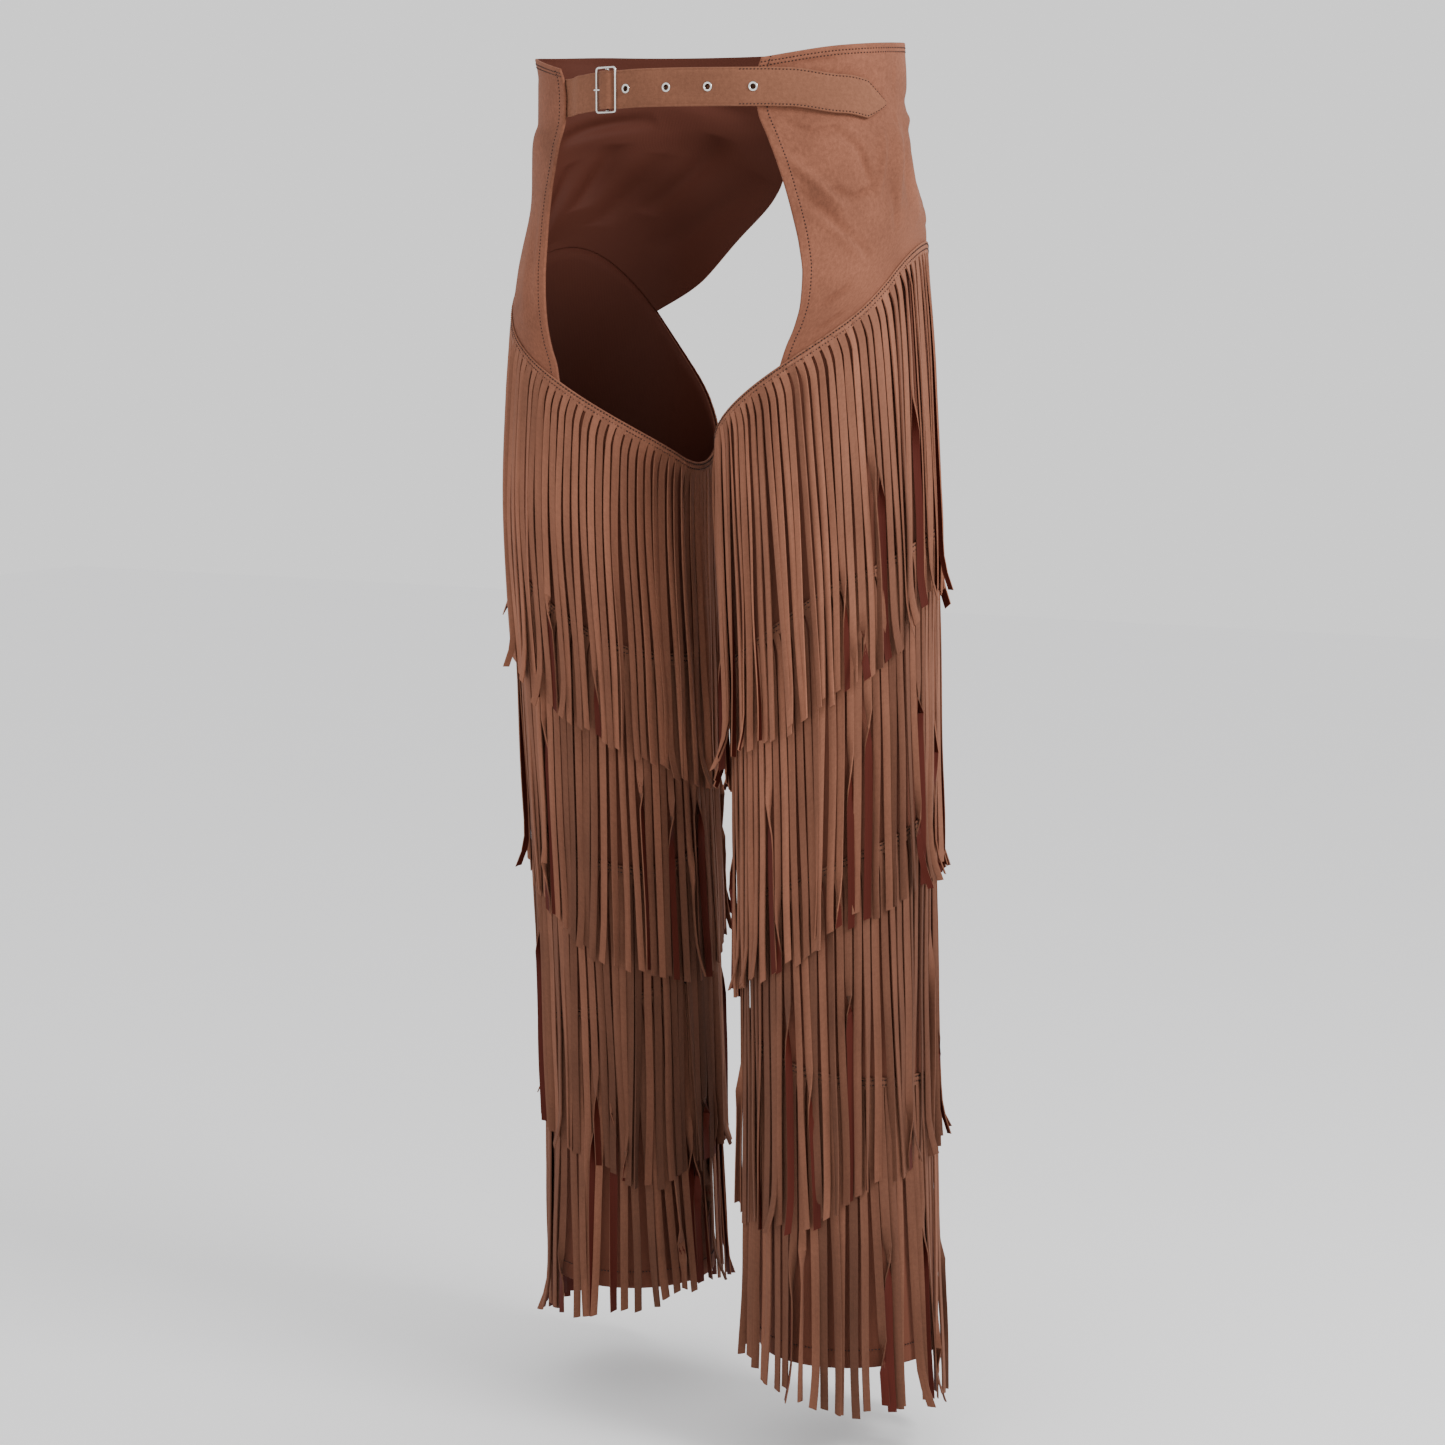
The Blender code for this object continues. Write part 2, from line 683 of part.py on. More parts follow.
def make_buckle_strap():
    path = on_waist(tuple((turn, out, STRAP_BUCKLE_HEIGHT) for turn, out in BUCKLE_STRAP_UNDER_PANEL))
    loop = CENTRE_BAR_RADIUS + SEAM_GAP + BUCKLE_STRAP_THICKNESS / 2
    local = list(BUCKLE_STRAP_TO_BAR)
    for angle in BAR_WRAP:
        turn = math.radians(angle)
        local.append((loop * math.cos(turn), CENTRE_BAR_OUT + loop * math.sin(turn)))
    local += BUCKLE_STRAP_FROM_BAR
    path += [(*at_buckle(distance, out, 0.0)[:2], STRAP_BUCKLE_HEIGHT) for distance, out in local]
    halves = [BUCKLE_STRAP_HALF_HEIGHT] * len(path)
    strap = ribbon("buckle_strap", path, BUCKLE_STRAP_THICKNESS, halves, "strap_suede")
    near, far = PRONG_SLOT_ALONG
    low, high = PRONG_SLOT_OUT
    corners = [
        at_buckle(distance, out, height)
        for height in (PRONG_HEIGHT - PRONG_SLOT_HALF_HEIGHT, PRONG_HEIGHT + PRONG_SLOT_HALF_HEIGHT)
        for distance, out in ((near, low), (far, low), (far, high), (near, high))
    ]
    faces = [(0, 1, 2, 3), (7, 6, 5, 4), (0, 4, 5, 1), (1, 5, 6, 2), (2, 6, 7, 3), (3, 7, 4, 0)]
    cutter = face_outwards(make_object("slot_cutter", corners, faces, "nickel", smooth=False))
    use_boolean(strap, cutter, "DIFFERENCE")
    return strap


def make_buckle():
    corner_steps = 3
    path = []
    for start, across, up in ((0, 1, 1), (90, -1, 1), (180, -1, -1), (270, 1, -1)):
        for step in range(corner_steps + 1):
            turn = math.radians(start + 90 * step / corner_steps)
            path.append(at_buckle(
                across * (FRAME_HALF_WIDTH - FRAME_CORNER) + FRAME_CORNER * math.cos(turn),
                BAR_OUT,
                up * (FRAME_HALF_HEIGHT - FRAME_CORNER) + FRAME_CORNER * math.sin(turn) + STRAP_BUCKLE_HEIGHT,
            ))
    frame = tube("buckle_frame", path, BAR_RADIUS, 8, "nickel", closed=True)
    bar_path = [
        at_buckle(0.0, BAR_OUT, STRAP_BUCKLE_HEIGHT + FRAME_HALF_HEIGHT),
        at_buckle(0.0, CENTRE_BAR_OUT, STRAP_BUCKLE_HEIGHT + CENTRE_BAR_HALF_HEIGHT),
        at_buckle(0.0, CENTRE_BAR_OUT, STRAP_BUCKLE_HEIGHT - CENTRE_BAR_HALF_HEIGHT),
        at_buckle(0.0, BAR_OUT, STRAP_BUCKLE_HEIGHT - FRAME_HALF_HEIGHT),
    ]
    bar = tube("centre_bar_for_frame", bar_path, CENTRE_BAR_RADIUS, 8, "nickel")
    use_boolean(frame, bar, "UNION")
    return frame


def make_prong():
    eye = CENTRE_BAR_RADIUS + SEAM_GAP + PRONG_RADIUS
    local = []
    for angle in PRONG_WRAP:
        turn = math.radians(angle)
        local.append((eye * math.cos(turn), CENTRE_BAR_OUT + eye * math.sin(turn)))
    local += PRONG_ROWS
    path = [at_buckle(distance, out, PRONG_HEIGHT) for distance, out in local]
    return tube("buckle_prong", path, PRONG_RADIUS, 8, "nickel")


def build():
    clear_scene()
    for name, side in SIDES.items():
        make_hip_panel(name, side)
        make_leg(name, side)
        for tier in range(TIERS):
            make_fringe(name, side, tier)
    make_strap()
    make_buckle_strap()
    make_buckle()
    make_prong()
    for index, turn in enumerate(EYELET_ANGLES):
        make_eyelet(index, turn)


build()
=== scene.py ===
# %% [markdown]
# Fringed suede chaps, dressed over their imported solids. The solids give the true form of each cut piece. This
# script lays a finer cloth over each of them, hangs every strand of the fringe one by one, sews the seams and
# polishes the metal. It is written as a lesson: each step says what the piece is on the real object and why it
# is made this way.

# %% Frame
import math

import bmesh
import bpy
import numpy as np
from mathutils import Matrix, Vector


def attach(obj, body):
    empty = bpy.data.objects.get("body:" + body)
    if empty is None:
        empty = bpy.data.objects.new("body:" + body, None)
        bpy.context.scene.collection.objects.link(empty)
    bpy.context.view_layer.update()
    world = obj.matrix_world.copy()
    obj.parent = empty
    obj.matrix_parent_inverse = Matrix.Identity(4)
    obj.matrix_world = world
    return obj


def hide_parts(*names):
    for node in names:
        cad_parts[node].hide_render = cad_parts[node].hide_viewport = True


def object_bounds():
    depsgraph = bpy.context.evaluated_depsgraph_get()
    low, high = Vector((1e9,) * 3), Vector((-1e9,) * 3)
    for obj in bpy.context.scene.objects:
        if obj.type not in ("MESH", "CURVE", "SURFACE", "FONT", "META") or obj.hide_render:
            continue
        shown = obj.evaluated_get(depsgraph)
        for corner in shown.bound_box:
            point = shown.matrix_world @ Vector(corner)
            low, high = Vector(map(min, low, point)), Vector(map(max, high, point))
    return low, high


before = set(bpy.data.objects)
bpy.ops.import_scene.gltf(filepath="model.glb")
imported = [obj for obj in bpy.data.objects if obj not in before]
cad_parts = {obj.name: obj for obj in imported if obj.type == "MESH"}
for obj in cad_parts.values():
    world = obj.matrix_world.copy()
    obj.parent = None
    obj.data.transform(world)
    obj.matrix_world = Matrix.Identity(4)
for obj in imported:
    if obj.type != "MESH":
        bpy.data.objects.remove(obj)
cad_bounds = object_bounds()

print("solids:", len(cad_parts))

# %% [markdown]
# The camera comes first, so that every later step can be judged from the photo's own place. It stands a little
# under 2.4 m away, at the height of the hips, thirty degrees to the left side of the garment, and looks down by
# about eight degrees. A long lens keeps both legs nearly the same size.

# %% Camera
CAMERA_TURN = math.radians(30.0)
CAMERA_DISTANCE = 2.37
CAMERA_HEIGHT = -0.155
CAMERA_TILT = math.radians(7.6)
CAMERA_ASIDE = 0.0027
CAMERA_CLIP = 0.05
SENSOR_MM = 36.0
LENS_MM = 77.2

toward = Vector((math.sin(CAMERA_TURN), -math.cos(CAMERA_TURN), 0.0))
aside = Vector((math.cos(CAMERA_TURN), math.sin(CAMERA_TURN), 0.0))
camera_data = bpy.data.cameras.new("camera")
camera_data.sensor_width = SENSOR_MM
camera_data.lens = LENS_MM
camera_data.clip_start = CAMERA_CLIP
camera = bpy.data.objects.new("camera", camera_data)
bpy.context.scene.collection.objects.link(camera)
camera.location = toward * CAMERA_DISTANCE + aside * CAMERA_ASIDE + Vector((0, 0, CAMERA_HEIGHT))
camera.rotation_euler = (math.pi / 2 - CAMERA_TILT, 0.0, CAMERA_TURN)
bpy.context.scene.camera = camera
print("camera at", [round(v, 3) for v in camera.location])

# %% [markdown]
# Colours are written as the hex numbers that a paint picker shows, and turned to the linear values that a
# renderer mixes light with. One small function does that for the whole script.

# %% Colours
def linear(hex_colour):
    """A colour such as 784B39 as linear (r, g, b, 1)."""
    channels = [int(hex_colour[i : i + 2], 16) / 255 for i in (0, 2, 4)]
    return tuple(c / 12.92 if c <= 0.04045 else ((c + 0.055) / 1.055) ** 2.4 for c in channels) + (1.0,)


HIP_COLOUR = "784B39"
FRINGE_COLOUR = "7A4F3D"
STRAP_COLOUR = "784E3B"
# Painted shade: the legs are the same cloth as the fringe, drawn darker as they show only in shaded gaps
LEG_COLOUR_WITH_PAINTED_SHADE = "643A2C"
NAP_EDGE_COLOUR = "C79A85"
BACK_COLOUR = "48180E"
INSIDE_COLOUR = "50281D"
THREAD_COLOUR = "2A130B"
NICKEL_COLOUR = "D9D8D4"
FLOOR_COLOUR = "FAFAFB"
print("hip suede, linear:", [round(v, 3) for v in linear(HIP_COLOUR)[:3]])

# %% [markdown]
# A material is a tree of nodes. It is easier to read when each line adds one node with its settings and its
# links, so one small function does that for every material below. An input is given by its name or number, with
# either the output to link to it or the value to set. The floor comes first, as the plainest example: a faint
# mottle makes the paint a little lighter and darker.

# %% Node helper and floor paint
def add(tree, kind, inputs=None, **settings):
    """Adds a node. inputs holds, by name or number, an output to link or a value to set."""
    node = tree.nodes.new(kind)
    for name, value in settings.items():
        setattr(node, name, value)
    for place, value in (inputs or {}).items():
        if isinstance(value, bpy.types.NodeSocket):
            tree.links.new(value, node.inputs[place])
        else:
            node.inputs[place].default_value = value
    return node


def new_material(name):
    material = bpy.data.materials.new(name)
    material.use_nodes = True
    material.node_tree.nodes.clear()
    return material, material.node_tree


def finish(tree, colour, value, bump=None, **inputs):
    """Ends a tree: the colour times a value, a bump of (height, strength, distance), and one shader."""
    tint = add(tree, "ShaderNodeHueSaturation", {"Value": value, "Color": linear(colour)})
    inputs["Base Color"] = tint.outputs["Color"]
    if bump:
        relief = add(tree, "ShaderNodeBump", dict(zip(("Height", "Strength", "Distance"), bump)))
        inputs["Normal"] = relief.outputs["Normal"]
    shader = add(tree, "ShaderNodeBsdfPrincipled", inputs)
    add(tree, "ShaderNodeOutputMaterial", {"Surface": shader.outputs["BSDF"]})


floor_paint, tree = new_material("pale painted floor")
place = add(tree, "ShaderNodeNewGeometry").outputs["Position"]
mottle = add(tree, "ShaderNodeTexNoise", {"Vector": place, "Scale": 3.0, "Detail": 2.0})
shade = add(tree, "ShaderNodeMath", {0: mottle.outputs["Fac"], 1: 0.02, 2: 0.99}, operation="MULTIPLY_ADD")
finish(tree, FLOOR_COLOUR, shade.outputs[0], Roughness=0.8)
print("nodes in the floor paint:", len(tree.nodes))

# %% [markdown]
# Faux suede is a knit whose face is brushed up into a short nap. Three things make it read as suede: soft
# patches where a hand has stroked the nap one way or the other, a fine grain of fibre ends, and a pale edge
# where the surface turns away, which the sheen gives. A cut strand also has streaks along its length, so that
# noise is stretched along the cloth's own measure, which a UV map keeps in metres. The patches are about 60 mm
# across. The real fibre ends are about 0.3 mm, too fine to show in the render, so the grain is drawn as coarse
# as it needs to show: 3 mm, with finer noise inside it down to 0.2 mm.

# %% Suede
PATCHES_PER_METRE = 17.0
GRAINS_PER_METRE = 330.0
STREAKS_PER_METRE = (520.0, 26.0, 1.0)
# A noise mostly stays near its middle value, so the patches are drawn stronger by this
PATCH_GAIN = 2.2
NAP_DEPTH = 0.0004


def suede(name, colour, patch, grain, streak=0.0, tone_and_shade=0.0):
    """patch, grain, streak and tone say how much each of them lightens and darkens the colour; the tone kept
    for each point also holds painted shade.
    """
    material, tree = new_material(name)
    uv = add(tree, "ShaderNodeUVMap", uv_map="cloth").outputs["UV"]
    place = add(tree, "ShaderNodeNewGeometry").outputs["Position"]
    soft = add(tree, "ShaderNodeTexNoise", {
        "Vector": place, "Scale": PATCHES_PER_METRE, "Detail": 3.0, "Roughness": 0.5, "Distortion": 0.3,
    })
    fibre = add(tree, "ShaderNodeTexNoise", {
        "Vector": uv, "Scale": GRAINS_PER_METRE, "Detail": 4.0, "Roughness": 0.85,
    })
    stretch = add(tree, "ShaderNodeMapping", {"Vector": uv, "Scale": STREAKS_PER_METRE})
    lines = add(tree, "ShaderNodeTexNoise", {
        "Vector": stretch.outputs["Vector"], "Scale": 1.0, "Detail": 3.0, "Roughness": 0.6,
    })
    # each point's tone: random tone plus painted light and shade
    strand = add(tree, "ShaderNodeAttribute", attribute_name="tone_and_shade")
    value = None
    for source, factor, least in (
        (soft, 2 * patch * PATCH_GAIN, 1 - patch * PATCH_GAIN), (fibre, 2 * grain, 1 - grain),
        (lines, 2 * streak, 1 - streak), (strand, tone_and_shade, 1.0),
    ):
        amount = {0: source.outputs["Fac"], 1: factor, 2: least}
        part = add(tree, "ShaderNodeMath", amount, operation="MULTIPLY_ADD")
        if value is not None:
            part = add(tree, "ShaderNodeMath", {0: value, 1: part.outputs[0]}, operation="MULTIPLY")
        value = part.outputs[0]
    height = add(tree, "ShaderNodeMath", {0: fibre.outputs["Fac"], 1: lines.outputs["Fac"]}, operation="ADD")
    finish(tree, colour, value, (height.outputs[0], 0.5, NAP_DEPTH), **{
        "Roughness": 0.92, "Specular IOR Level": 0.18, "Sheen Weight": 0.07, "Sheen Roughness": 0.55,
        "Sheen Tint": linear(NAP_EDGE_COLOUR),
    })
    return material


hip_suede = suede("hip faux suede, brushed knit", HIP_COLOUR, patch=0.20, grain=0.60)
fringe_suede = suede(
    "fringe faux suede, cut strands", FRINGE_COLOUR, patch=0.12, grain=0.35, streak=0.16, tone_and_shade=0.12,
)
# painted shade: drawn darker than the fringe's cloth, for the shaded gaps between strands where it shows
leg_suede = suede("leg faux suede, under the fringe", LEG_COLOUR_WITH_PAINTED_SHADE, patch=0.08, grain=0.12)
strap_suede = suede("strap faux suede, two layers stitched", STRAP_COLOUR, patch=0.14, grain=0.45)
print("suedes:", [m.name for m in (hip_suede, fringe_suede, leg_suede, strap_suede)])

# %% [markdown]
# The reverse of the cloth is the unbrushed knit: smoother, redder and darker, with a slight satin shine. It
# shows where a strand turns over, and inside the panels and the open tops of the legs. Its rows of loops are
# drawn about 4 mm apart. The real ones are under 1 mm and would blur to nothing.

# %% Reverse of the cloth
LOOPS_PER_METRE = 260.0


def satin_back(name, colour):
    material, tree = new_material(name)
    uv = add(tree, "ShaderNodeUVMap", uv_map="cloth").outputs["UV"]
    knit = add(tree, "ShaderNodeTexWave", {
        "Vector": uv, "Scale": LOOPS_PER_METRE, "Distortion": 1.5, "Detail": 1.0,
    })
    shade = add(tree, "ShaderNodeMath", {0: knit.outputs["Fac"], 1: 0.16, 2: 0.92}, operation="MULTIPLY_ADD")
    bump = (knit.outputs["Fac"], 0.15, 0.0002)
    finish(tree, colour, shade.outputs[0], bump, **{"Roughness": 0.70, "Specular IOR Level": 0.16})
    return material


reverse = satin_back("unbrushed knit back, satin", BACK_COLOUR)
panel_back = satin_back("unbrushed knit back, inside the panels", INSIDE_COLOUR)
print("backs:", reverse.name, "and", panel_back.name)

# %% [markdown]
# Thread is spun polyester: a little shiny, twisted, and darker than the nap it sinks into. The metal is nickel
# plate on wire. Its dents are too small to model, so a faint bump breaks up the reflections. Both are one noise
# that changes the colour, the roughness and the bump, at their own scales.

# %% Thread and metal
def worn(name, colour, roughness, metallic, per_metre, strength):
    """per_metre is the noise's scale, strength that of its bump."""
    material, tree = new_material(name)
    place = add(tree, "ShaderNodeNewGeometry").outputs["Position"]
    noise = add(tree, "ShaderNodeTexNoise", {"Vector": place, "Scale": per_metre, "Detail": 3.0}).outputs["Fac"]
    wear = add(tree, "ShaderNodeMath", {0: noise, 1: 0.22, 2: roughness - 0.11}, operation="MULTIPLY_ADD")
    shade = add(tree, "ShaderNodeMath", {0: noise, 1: 0.2, 2: 0.9}, operation="MULTIPLY_ADD")
    bump = (noise, strength, 0.0002)
    finish(tree, colour, shade.outputs[0], bump, Roughness=wear.outputs[0], Metallic=metallic)
    return material


thread = worn("spun polyester thread", THREAD_COLOUR, 0.8, 0.0, 3000.0, 0.4)
nickel = worn("nickel-plated steel wire", NICKEL_COLOUR, 0.24, 1.0, 420.0, 0.08)
print("materials so far:", len(bpy.data.materials))

# %% [markdown]
# The form under the cloth is only numbers: half widths and half depths at a few heights. The waist and hips are
# one oval, each leg another. They are the numbers that the solids were built from, so that every finer surface
# lies on its solid. Between the rows a smooth curve is run, and an angle round an oval starts at the front and
# grows towards the outer side of that leg.

# %% Ovals
WALL = 0.0015
SIDES = (("left", 1), ("right", -1))
# height, half width, half depth
TORSO = np.array([
    (0.050, 0.1450, 0.0955), (0.018, 0.1473, 0.0969), (0.000, 0.1475, 0.0970),
    (-0.016, 0.1477, 0.0972), (-0.035, 0.1505, 0.1005), (-0.080, 0.1535, 0.1055),
    (-0.110, 0.1560, 0.1095), (-0.130, 0.1580, 0.1115), (-0.200, 0.1610, 0.1135),
])
# height, then x, y, half width and half depth of the left leg, then of the right leg
LEGS = np.array([
    (0.000, 0.0810, 0.0000, 0.0765, 0.0980, -0.0825, -0.0030, 0.0760, 0.0980),
    (-0.110, 0.0820, 0.0020, 0.0765, 0.0960, -0.0830, -0.0040, 0.0755, 0.0960),
    (-0.200, 0.0860, 0.0050, 0.0770, 0.0910, -0.0865, -0.0050, 0.0755, 0.0910),
    (-0.296, 0.0905, 0.0065, 0.0775, 0.0850, -0.0940, -0.0045, 0.0750, 0.0840),
    (-0.445, 0.0985, 0.0040, 0.0725, 0.0765, -0.0990, 0.0120, 0.0715, 0.0755),
    (-0.675, 0.1060, 0.0020, 0.0685, 0.0700, -0.1050, 0.0350, 0.0665, 0.0680),
    (-0.870, 0.1120, 0.0020, 0.0670, 0.0670, -0.1095, 0.0480, 0.0640, 0.0640),
    (-1.000, 0.1150, 0.0020, 0.0680, 0.0680, -0.1110, 0.0560, 0.0640, 0.0640),
])


def smooth_rows(table, at):
    """The columns of a table at these values of its first one, on a curve that never overshoots its rows."""
    table = table[np.argsort(table[:, 0])]
    keys, values = table[:, 0], table[:, 1:]
    steps = np.diff(values, axis=0) / np.diff(keys)[:, None]
    inner = np.where(
        steps[:-1] * steps[1:] > 0, 2 * steps[:-1] * steps[1:] / (steps[:-1] + steps[1:] + 1e-12), 0.0
    )
    slopes = np.vstack([steps[:1], inner, steps[-1:]])
    at = np.clip(np.asarray(at, float), keys[0], keys[-1])
    low = np.clip(np.searchsorted(keys, at) - 1, 0, len(keys) - 2)
    width = (keys[low + 1] - keys[low])[..., None]
    t = ((at - keys[low]) / (keys[low + 1] - keys[low]))[..., None]
    return (
        (2 * t**3 - 3 * t**2 + 1) * values[low]
        + (t**3 - 2 * t**2 + t) * width * slopes[low]
        + (-2 * t**3 + 3 * t**2) * values[low + 1]
        + (t**3 - t**2) * width * slopes[low + 1]
    )


print("waist, half width and depth:", smooth_rows(TORSO, np.array([0.0]))[0].round(4))

# %% [markdown]
# Every piece of cloth is placed by three numbers: the angle round an oval, the height, and the distance out
# from it. The left and right sides share their numbers, and side (1 or -1) mirrors them.

# %% Places on the ovals
def oval(x, y, half_width, half_depth, side, degrees, height):
    turn = np.radians(degrees)
    return np.stack([
        x + side * half_width * np.sin(turn), y - half_depth * np.cos(turn), height + 0 * turn,
    ], axis=-1)


def torso_at(side, degrees, height, out):
    """Points out from the waist and hips, at these angles round them and heights."""
    degrees, height, out = np.broadcast_arrays(*(np.asarray(v, float) for v in (degrees, height, out)))
    row = smooth_rows(TORSO, height)
    return oval(0.0, 0.0, row[..., 0] + out, row[..., 1] + out, side, degrees, height)


def leg_row(side, height):
    """x, y, half width and half depth of a leg at these heights."""
    row = smooth_rows(LEGS, height)
    return row[..., :4] if side > 0 else row[..., 4:]


def leg_at(side, degrees, height, out):
    """Points out from a leg, at these angles round it and heights."""
    degrees, height, out = np.broadcast_arrays(*(np.asarray(v, float) for v in (degrees, height, out)))
    row = leg_row(side, height)
    return oval(row[..., 0], row[..., 1], row[..., 2] + out, row[..., 3] + out, side, degrees, height)


def leg_frame(side, degrees, height):
    """The way out of the leg, the level way along it, and the metres in a degree, at these places."""
    ahead = leg_at(side, degrees + 0.5, height, 0.0)
    behind = leg_at(side, degrees - 0.5, height, 0.0)
    way = ahead - behind
    size = np.linalg.norm(way[..., :2], axis=-1, keepdims=True)
    way = way / size
    outwards = side * np.stack([way[..., 1], -way[..., 0], 0 * way[..., 0]], axis=-1)
    return outwards, way, size[..., 0]


print("outside of the left leg at the knee:", leg_at(1, 90.0, -0.5, WALL).round(3))

# %% [markdown]
# The fringe is sewn on in four slanting lengths on each leg. This table is their pattern: for an angle round
# the leg, the height of each length's top edge. The top one follows the seam between hip panel and leg, high on
# the outside and low at the inside. The right leg's cloth rides up towards the hem, so its lower lengths sit a
# little higher.

# %% Fringe lines
HEM_HEIGHT = -0.945
RIGHT_RISE = (0.0, 0.0, 0.003, 0.011)
FRINGE_LINES = np.array([
    (-90, -0.278, -0.420, -0.575, -0.685), (-52, -0.250, -0.415, -0.590, -0.692),
    (-28, -0.231, -0.405, -0.587, -0.705), (8, -0.200, -0.375, -0.572, -0.716),
    (24, -0.186, -0.357, -0.560, -0.720), (44, -0.168, -0.345, -0.550, -0.722),
    (60, -0.152, -0.338, -0.543, -0.723), (74, -0.132, -0.329, -0.536, -0.724),
    (90, -0.112, -0.320, -0.529, -0.725), (122, -0.104, -0.315, -0.524, -0.728),
    (150, -0.135, -0.330, -0.535, -0.725), (180, -0.190, -0.360, -0.552, -0.716),
    (225, -0.250, -0.395, -0.567, -0.700), (270, -0.278, -0.420, -0.575, -0.685),
])


def line_height(side, tier, degrees):
    """Height of a length's top edge: the mean of five places near by, which rounds the table's corners."""
    degrees = np.asarray(degrees, float)
    total = 0.0
    for step in (-12, -6, 0, 6, 12):
        near = (degrees + step + 90) % 360 - 90
        total = total + np.interp(near, FRINGE_LINES[:, 0], FRINGE_LINES[:, 1 + tier])
    return total / 5 + (RIGHT_RISE[tier] if side < 0 else 0.0)


def hem_height(side):
    return HEM_HEIGHT + (RIGHT_RISE[-1] if side < 0 else 0.0)


print("outer top of the fringe:", round(float(line_height(1, 0, 90.0)), 3))

# %% [markdown]
# Every cloth piece below is a grid of points given a thickness: one layer for the back, one for the face, and
# rims. The UV map keeps real metres along the cloth, so that the grain is the same size on every piece.

# %% Mesh helpers
def make_mesh(name, points, faces, materials, uv=None, slots=None, smooth=True):
    """A mesh object. uv is one pair for each point, slots a material number for each face."""
    mesh = bpy.data.meshes.new(name)
    mesh.from_pydata([tuple(p) for p in points], [], [tuple(f) for f in faces])
    for material in materials:
        mesh.materials.append(material)
    if slots is not None:
        mesh.polygons.foreach_set("material_index", np.asarray(slots, np.int32))
    mesh.polygons.foreach_set("use_smooth", [smooth] * len(mesh.polygons))
    if uv is not None:
        layer = mesh.uv_layers.new(name="cloth")
        corners = np.empty(len(mesh.loops), np.int32)
        mesh.loops.foreach_get("vertex_index", corners)
        layer.data.foreach_set("uv", np.asarray(uv, np.float32)[corners].ravel())
    mesh.update()
    thing = bpy.data.objects.new(name, mesh)
    bpy.context.scene.collection.objects.link(thing)
    return thing


def set_tone_and_shade(thing, tone_and_shade):
    """Keeps a number for each point, which the fringe suede reads as lighter or darker: random tone plus
    painted shade.
    """
    attribute = thing.data.attributes.new("tone_and_shade", "FLOAT", "POINT")
    attribute.data.foreach_set("value", np.asarray(tone_and_shade, np.float32))


def cloth_shell(name, face, back, materials, uv, closed_round):
    """A closed cloth from its face grid and back grid. Face and rims take material 0, the back material 1."""
    rows, columns = face.shape[:2]
    layer = rows * columns
    points = np.concatenate([face.reshape(-1, 3), back.reshape(-1, 3)])
    spans = columns if closed_round else columns - 1
    row, column = np.meshgrid(np.arange(rows - 1), np.arange(spans), indexing="ij")
    a = row * columns + column
    b = row * columns + (column + 1) % columns
    quads = np.stack([a, b, b + columns, a + columns], axis=-1).reshape(-1, 4)
    spot = np.arange(spans)
    following = (spot + 1) % columns
    top = (rows - 1) * columns
    rims = [np.stack([spot + layer, following + layer, following, spot], -1)]
    rims.append(np.stack([top + spot, top + following, top + following + layer, top + spot + layer], -1))
    if not closed_round:
        left = np.arange(rows - 1) * columns
        rims.append(np.stack([left, left + columns, left + columns + layer, left + layer], -1))
        right = left + columns - 1
        rims.append(np.stack([right + layer, right + columns + layer, right + columns, right], -1))
    rims = np.concatenate(rims)
    faces = np.concatenate([quads, quads[:, ::-1] + layer, rims])
    normal = np.cross(points[quads[:, 1]] - points[quads[:, 0]], points[quads[:, 2]] - points[quads[:, 0]])
    outward = (face - back).reshape(-1, 3)[quads].mean(axis=1)
    if np.sum(normal * outward) < 0:
        faces = faces[:, ::-1]
    slots = np.repeat([0, 1, 0], [len(quads), len(quads), len(rims)])
    return make_mesh(name, points, faces, materials, np.concatenate([uv.reshape(-1, 2)] * 2), slots)


def lengths_along(points):
    """Metres from the first point to each of them."""
    return np.concatenate([[0], np.cumsum(np.linalg.norm(np.diff(points, axis=0), axis=1))])


def length_uv(grid):
    """Metres along the cloth, from the grid's middle row and column."""
    across = lengths_along(grid[len(grid) // 2])
    along = lengths_along(grid[:, grid.shape[1] // 2])
    return np.stack(np.meshgrid(across, along), axis=-1)


print("lengths of a square's sides:", lengths_along(np.array([(0, 0), (1, 0), (1, 1), (0, 1)])))

# %% [markdown]
# A hip panel is one cut piece: a front edge with a long soft curve, a top edge that rises to the back, the
# centre-back seam, and a lower edge that meets the leg. The patch below runs between those four edges. Where it
# leaves the leg's oval and reaches the waist's, the two are blended. The two front edges differ: the left one
# is cut back further, the right one hangs nearly straight.

# %% Hip panel edges
CENTRE_BACK_ANGLE = 179.998
# Rows of the edges: height, angle round the waist
FRONT_EDGE = {
    1: np.array([
        (0.024, 33.7), (0.014, 32.4), (0.000, 31.9), (-0.015, 32.6), (-0.031, 35.2),
        (-0.050, 38.3), (-0.070, 41.1), (-0.090, 43.4), (-0.110, 45.4), (-0.130, 46.4),
        (-0.150, 46.0), (-0.168, 44.3), (-0.182, 41.9),
    ]),
    -1: np.array([
        (0.024, 37.6), (0.014, 36.0), (0.000, 35.0), (-0.015, 35.3), (-0.031, 36.7),
        (-0.050, 38.3), (-0.070, 39.7), (-0.090, 40.0), (-0.110, 39.1), (-0.130, 37.8),
        (-0.150, 36.6), (-0.168, 35.3), (-0.184, 33.6), (-0.198, 31.8),
    ]),
}
BACK_EDGE = np.array([
    (0.040, CENTRE_BACK_ANGLE), (-0.045, CENTRE_BACK_ANGLE), (-0.070, 176.5), (-0.100, 168.0), (-0.130, 157.0),
])
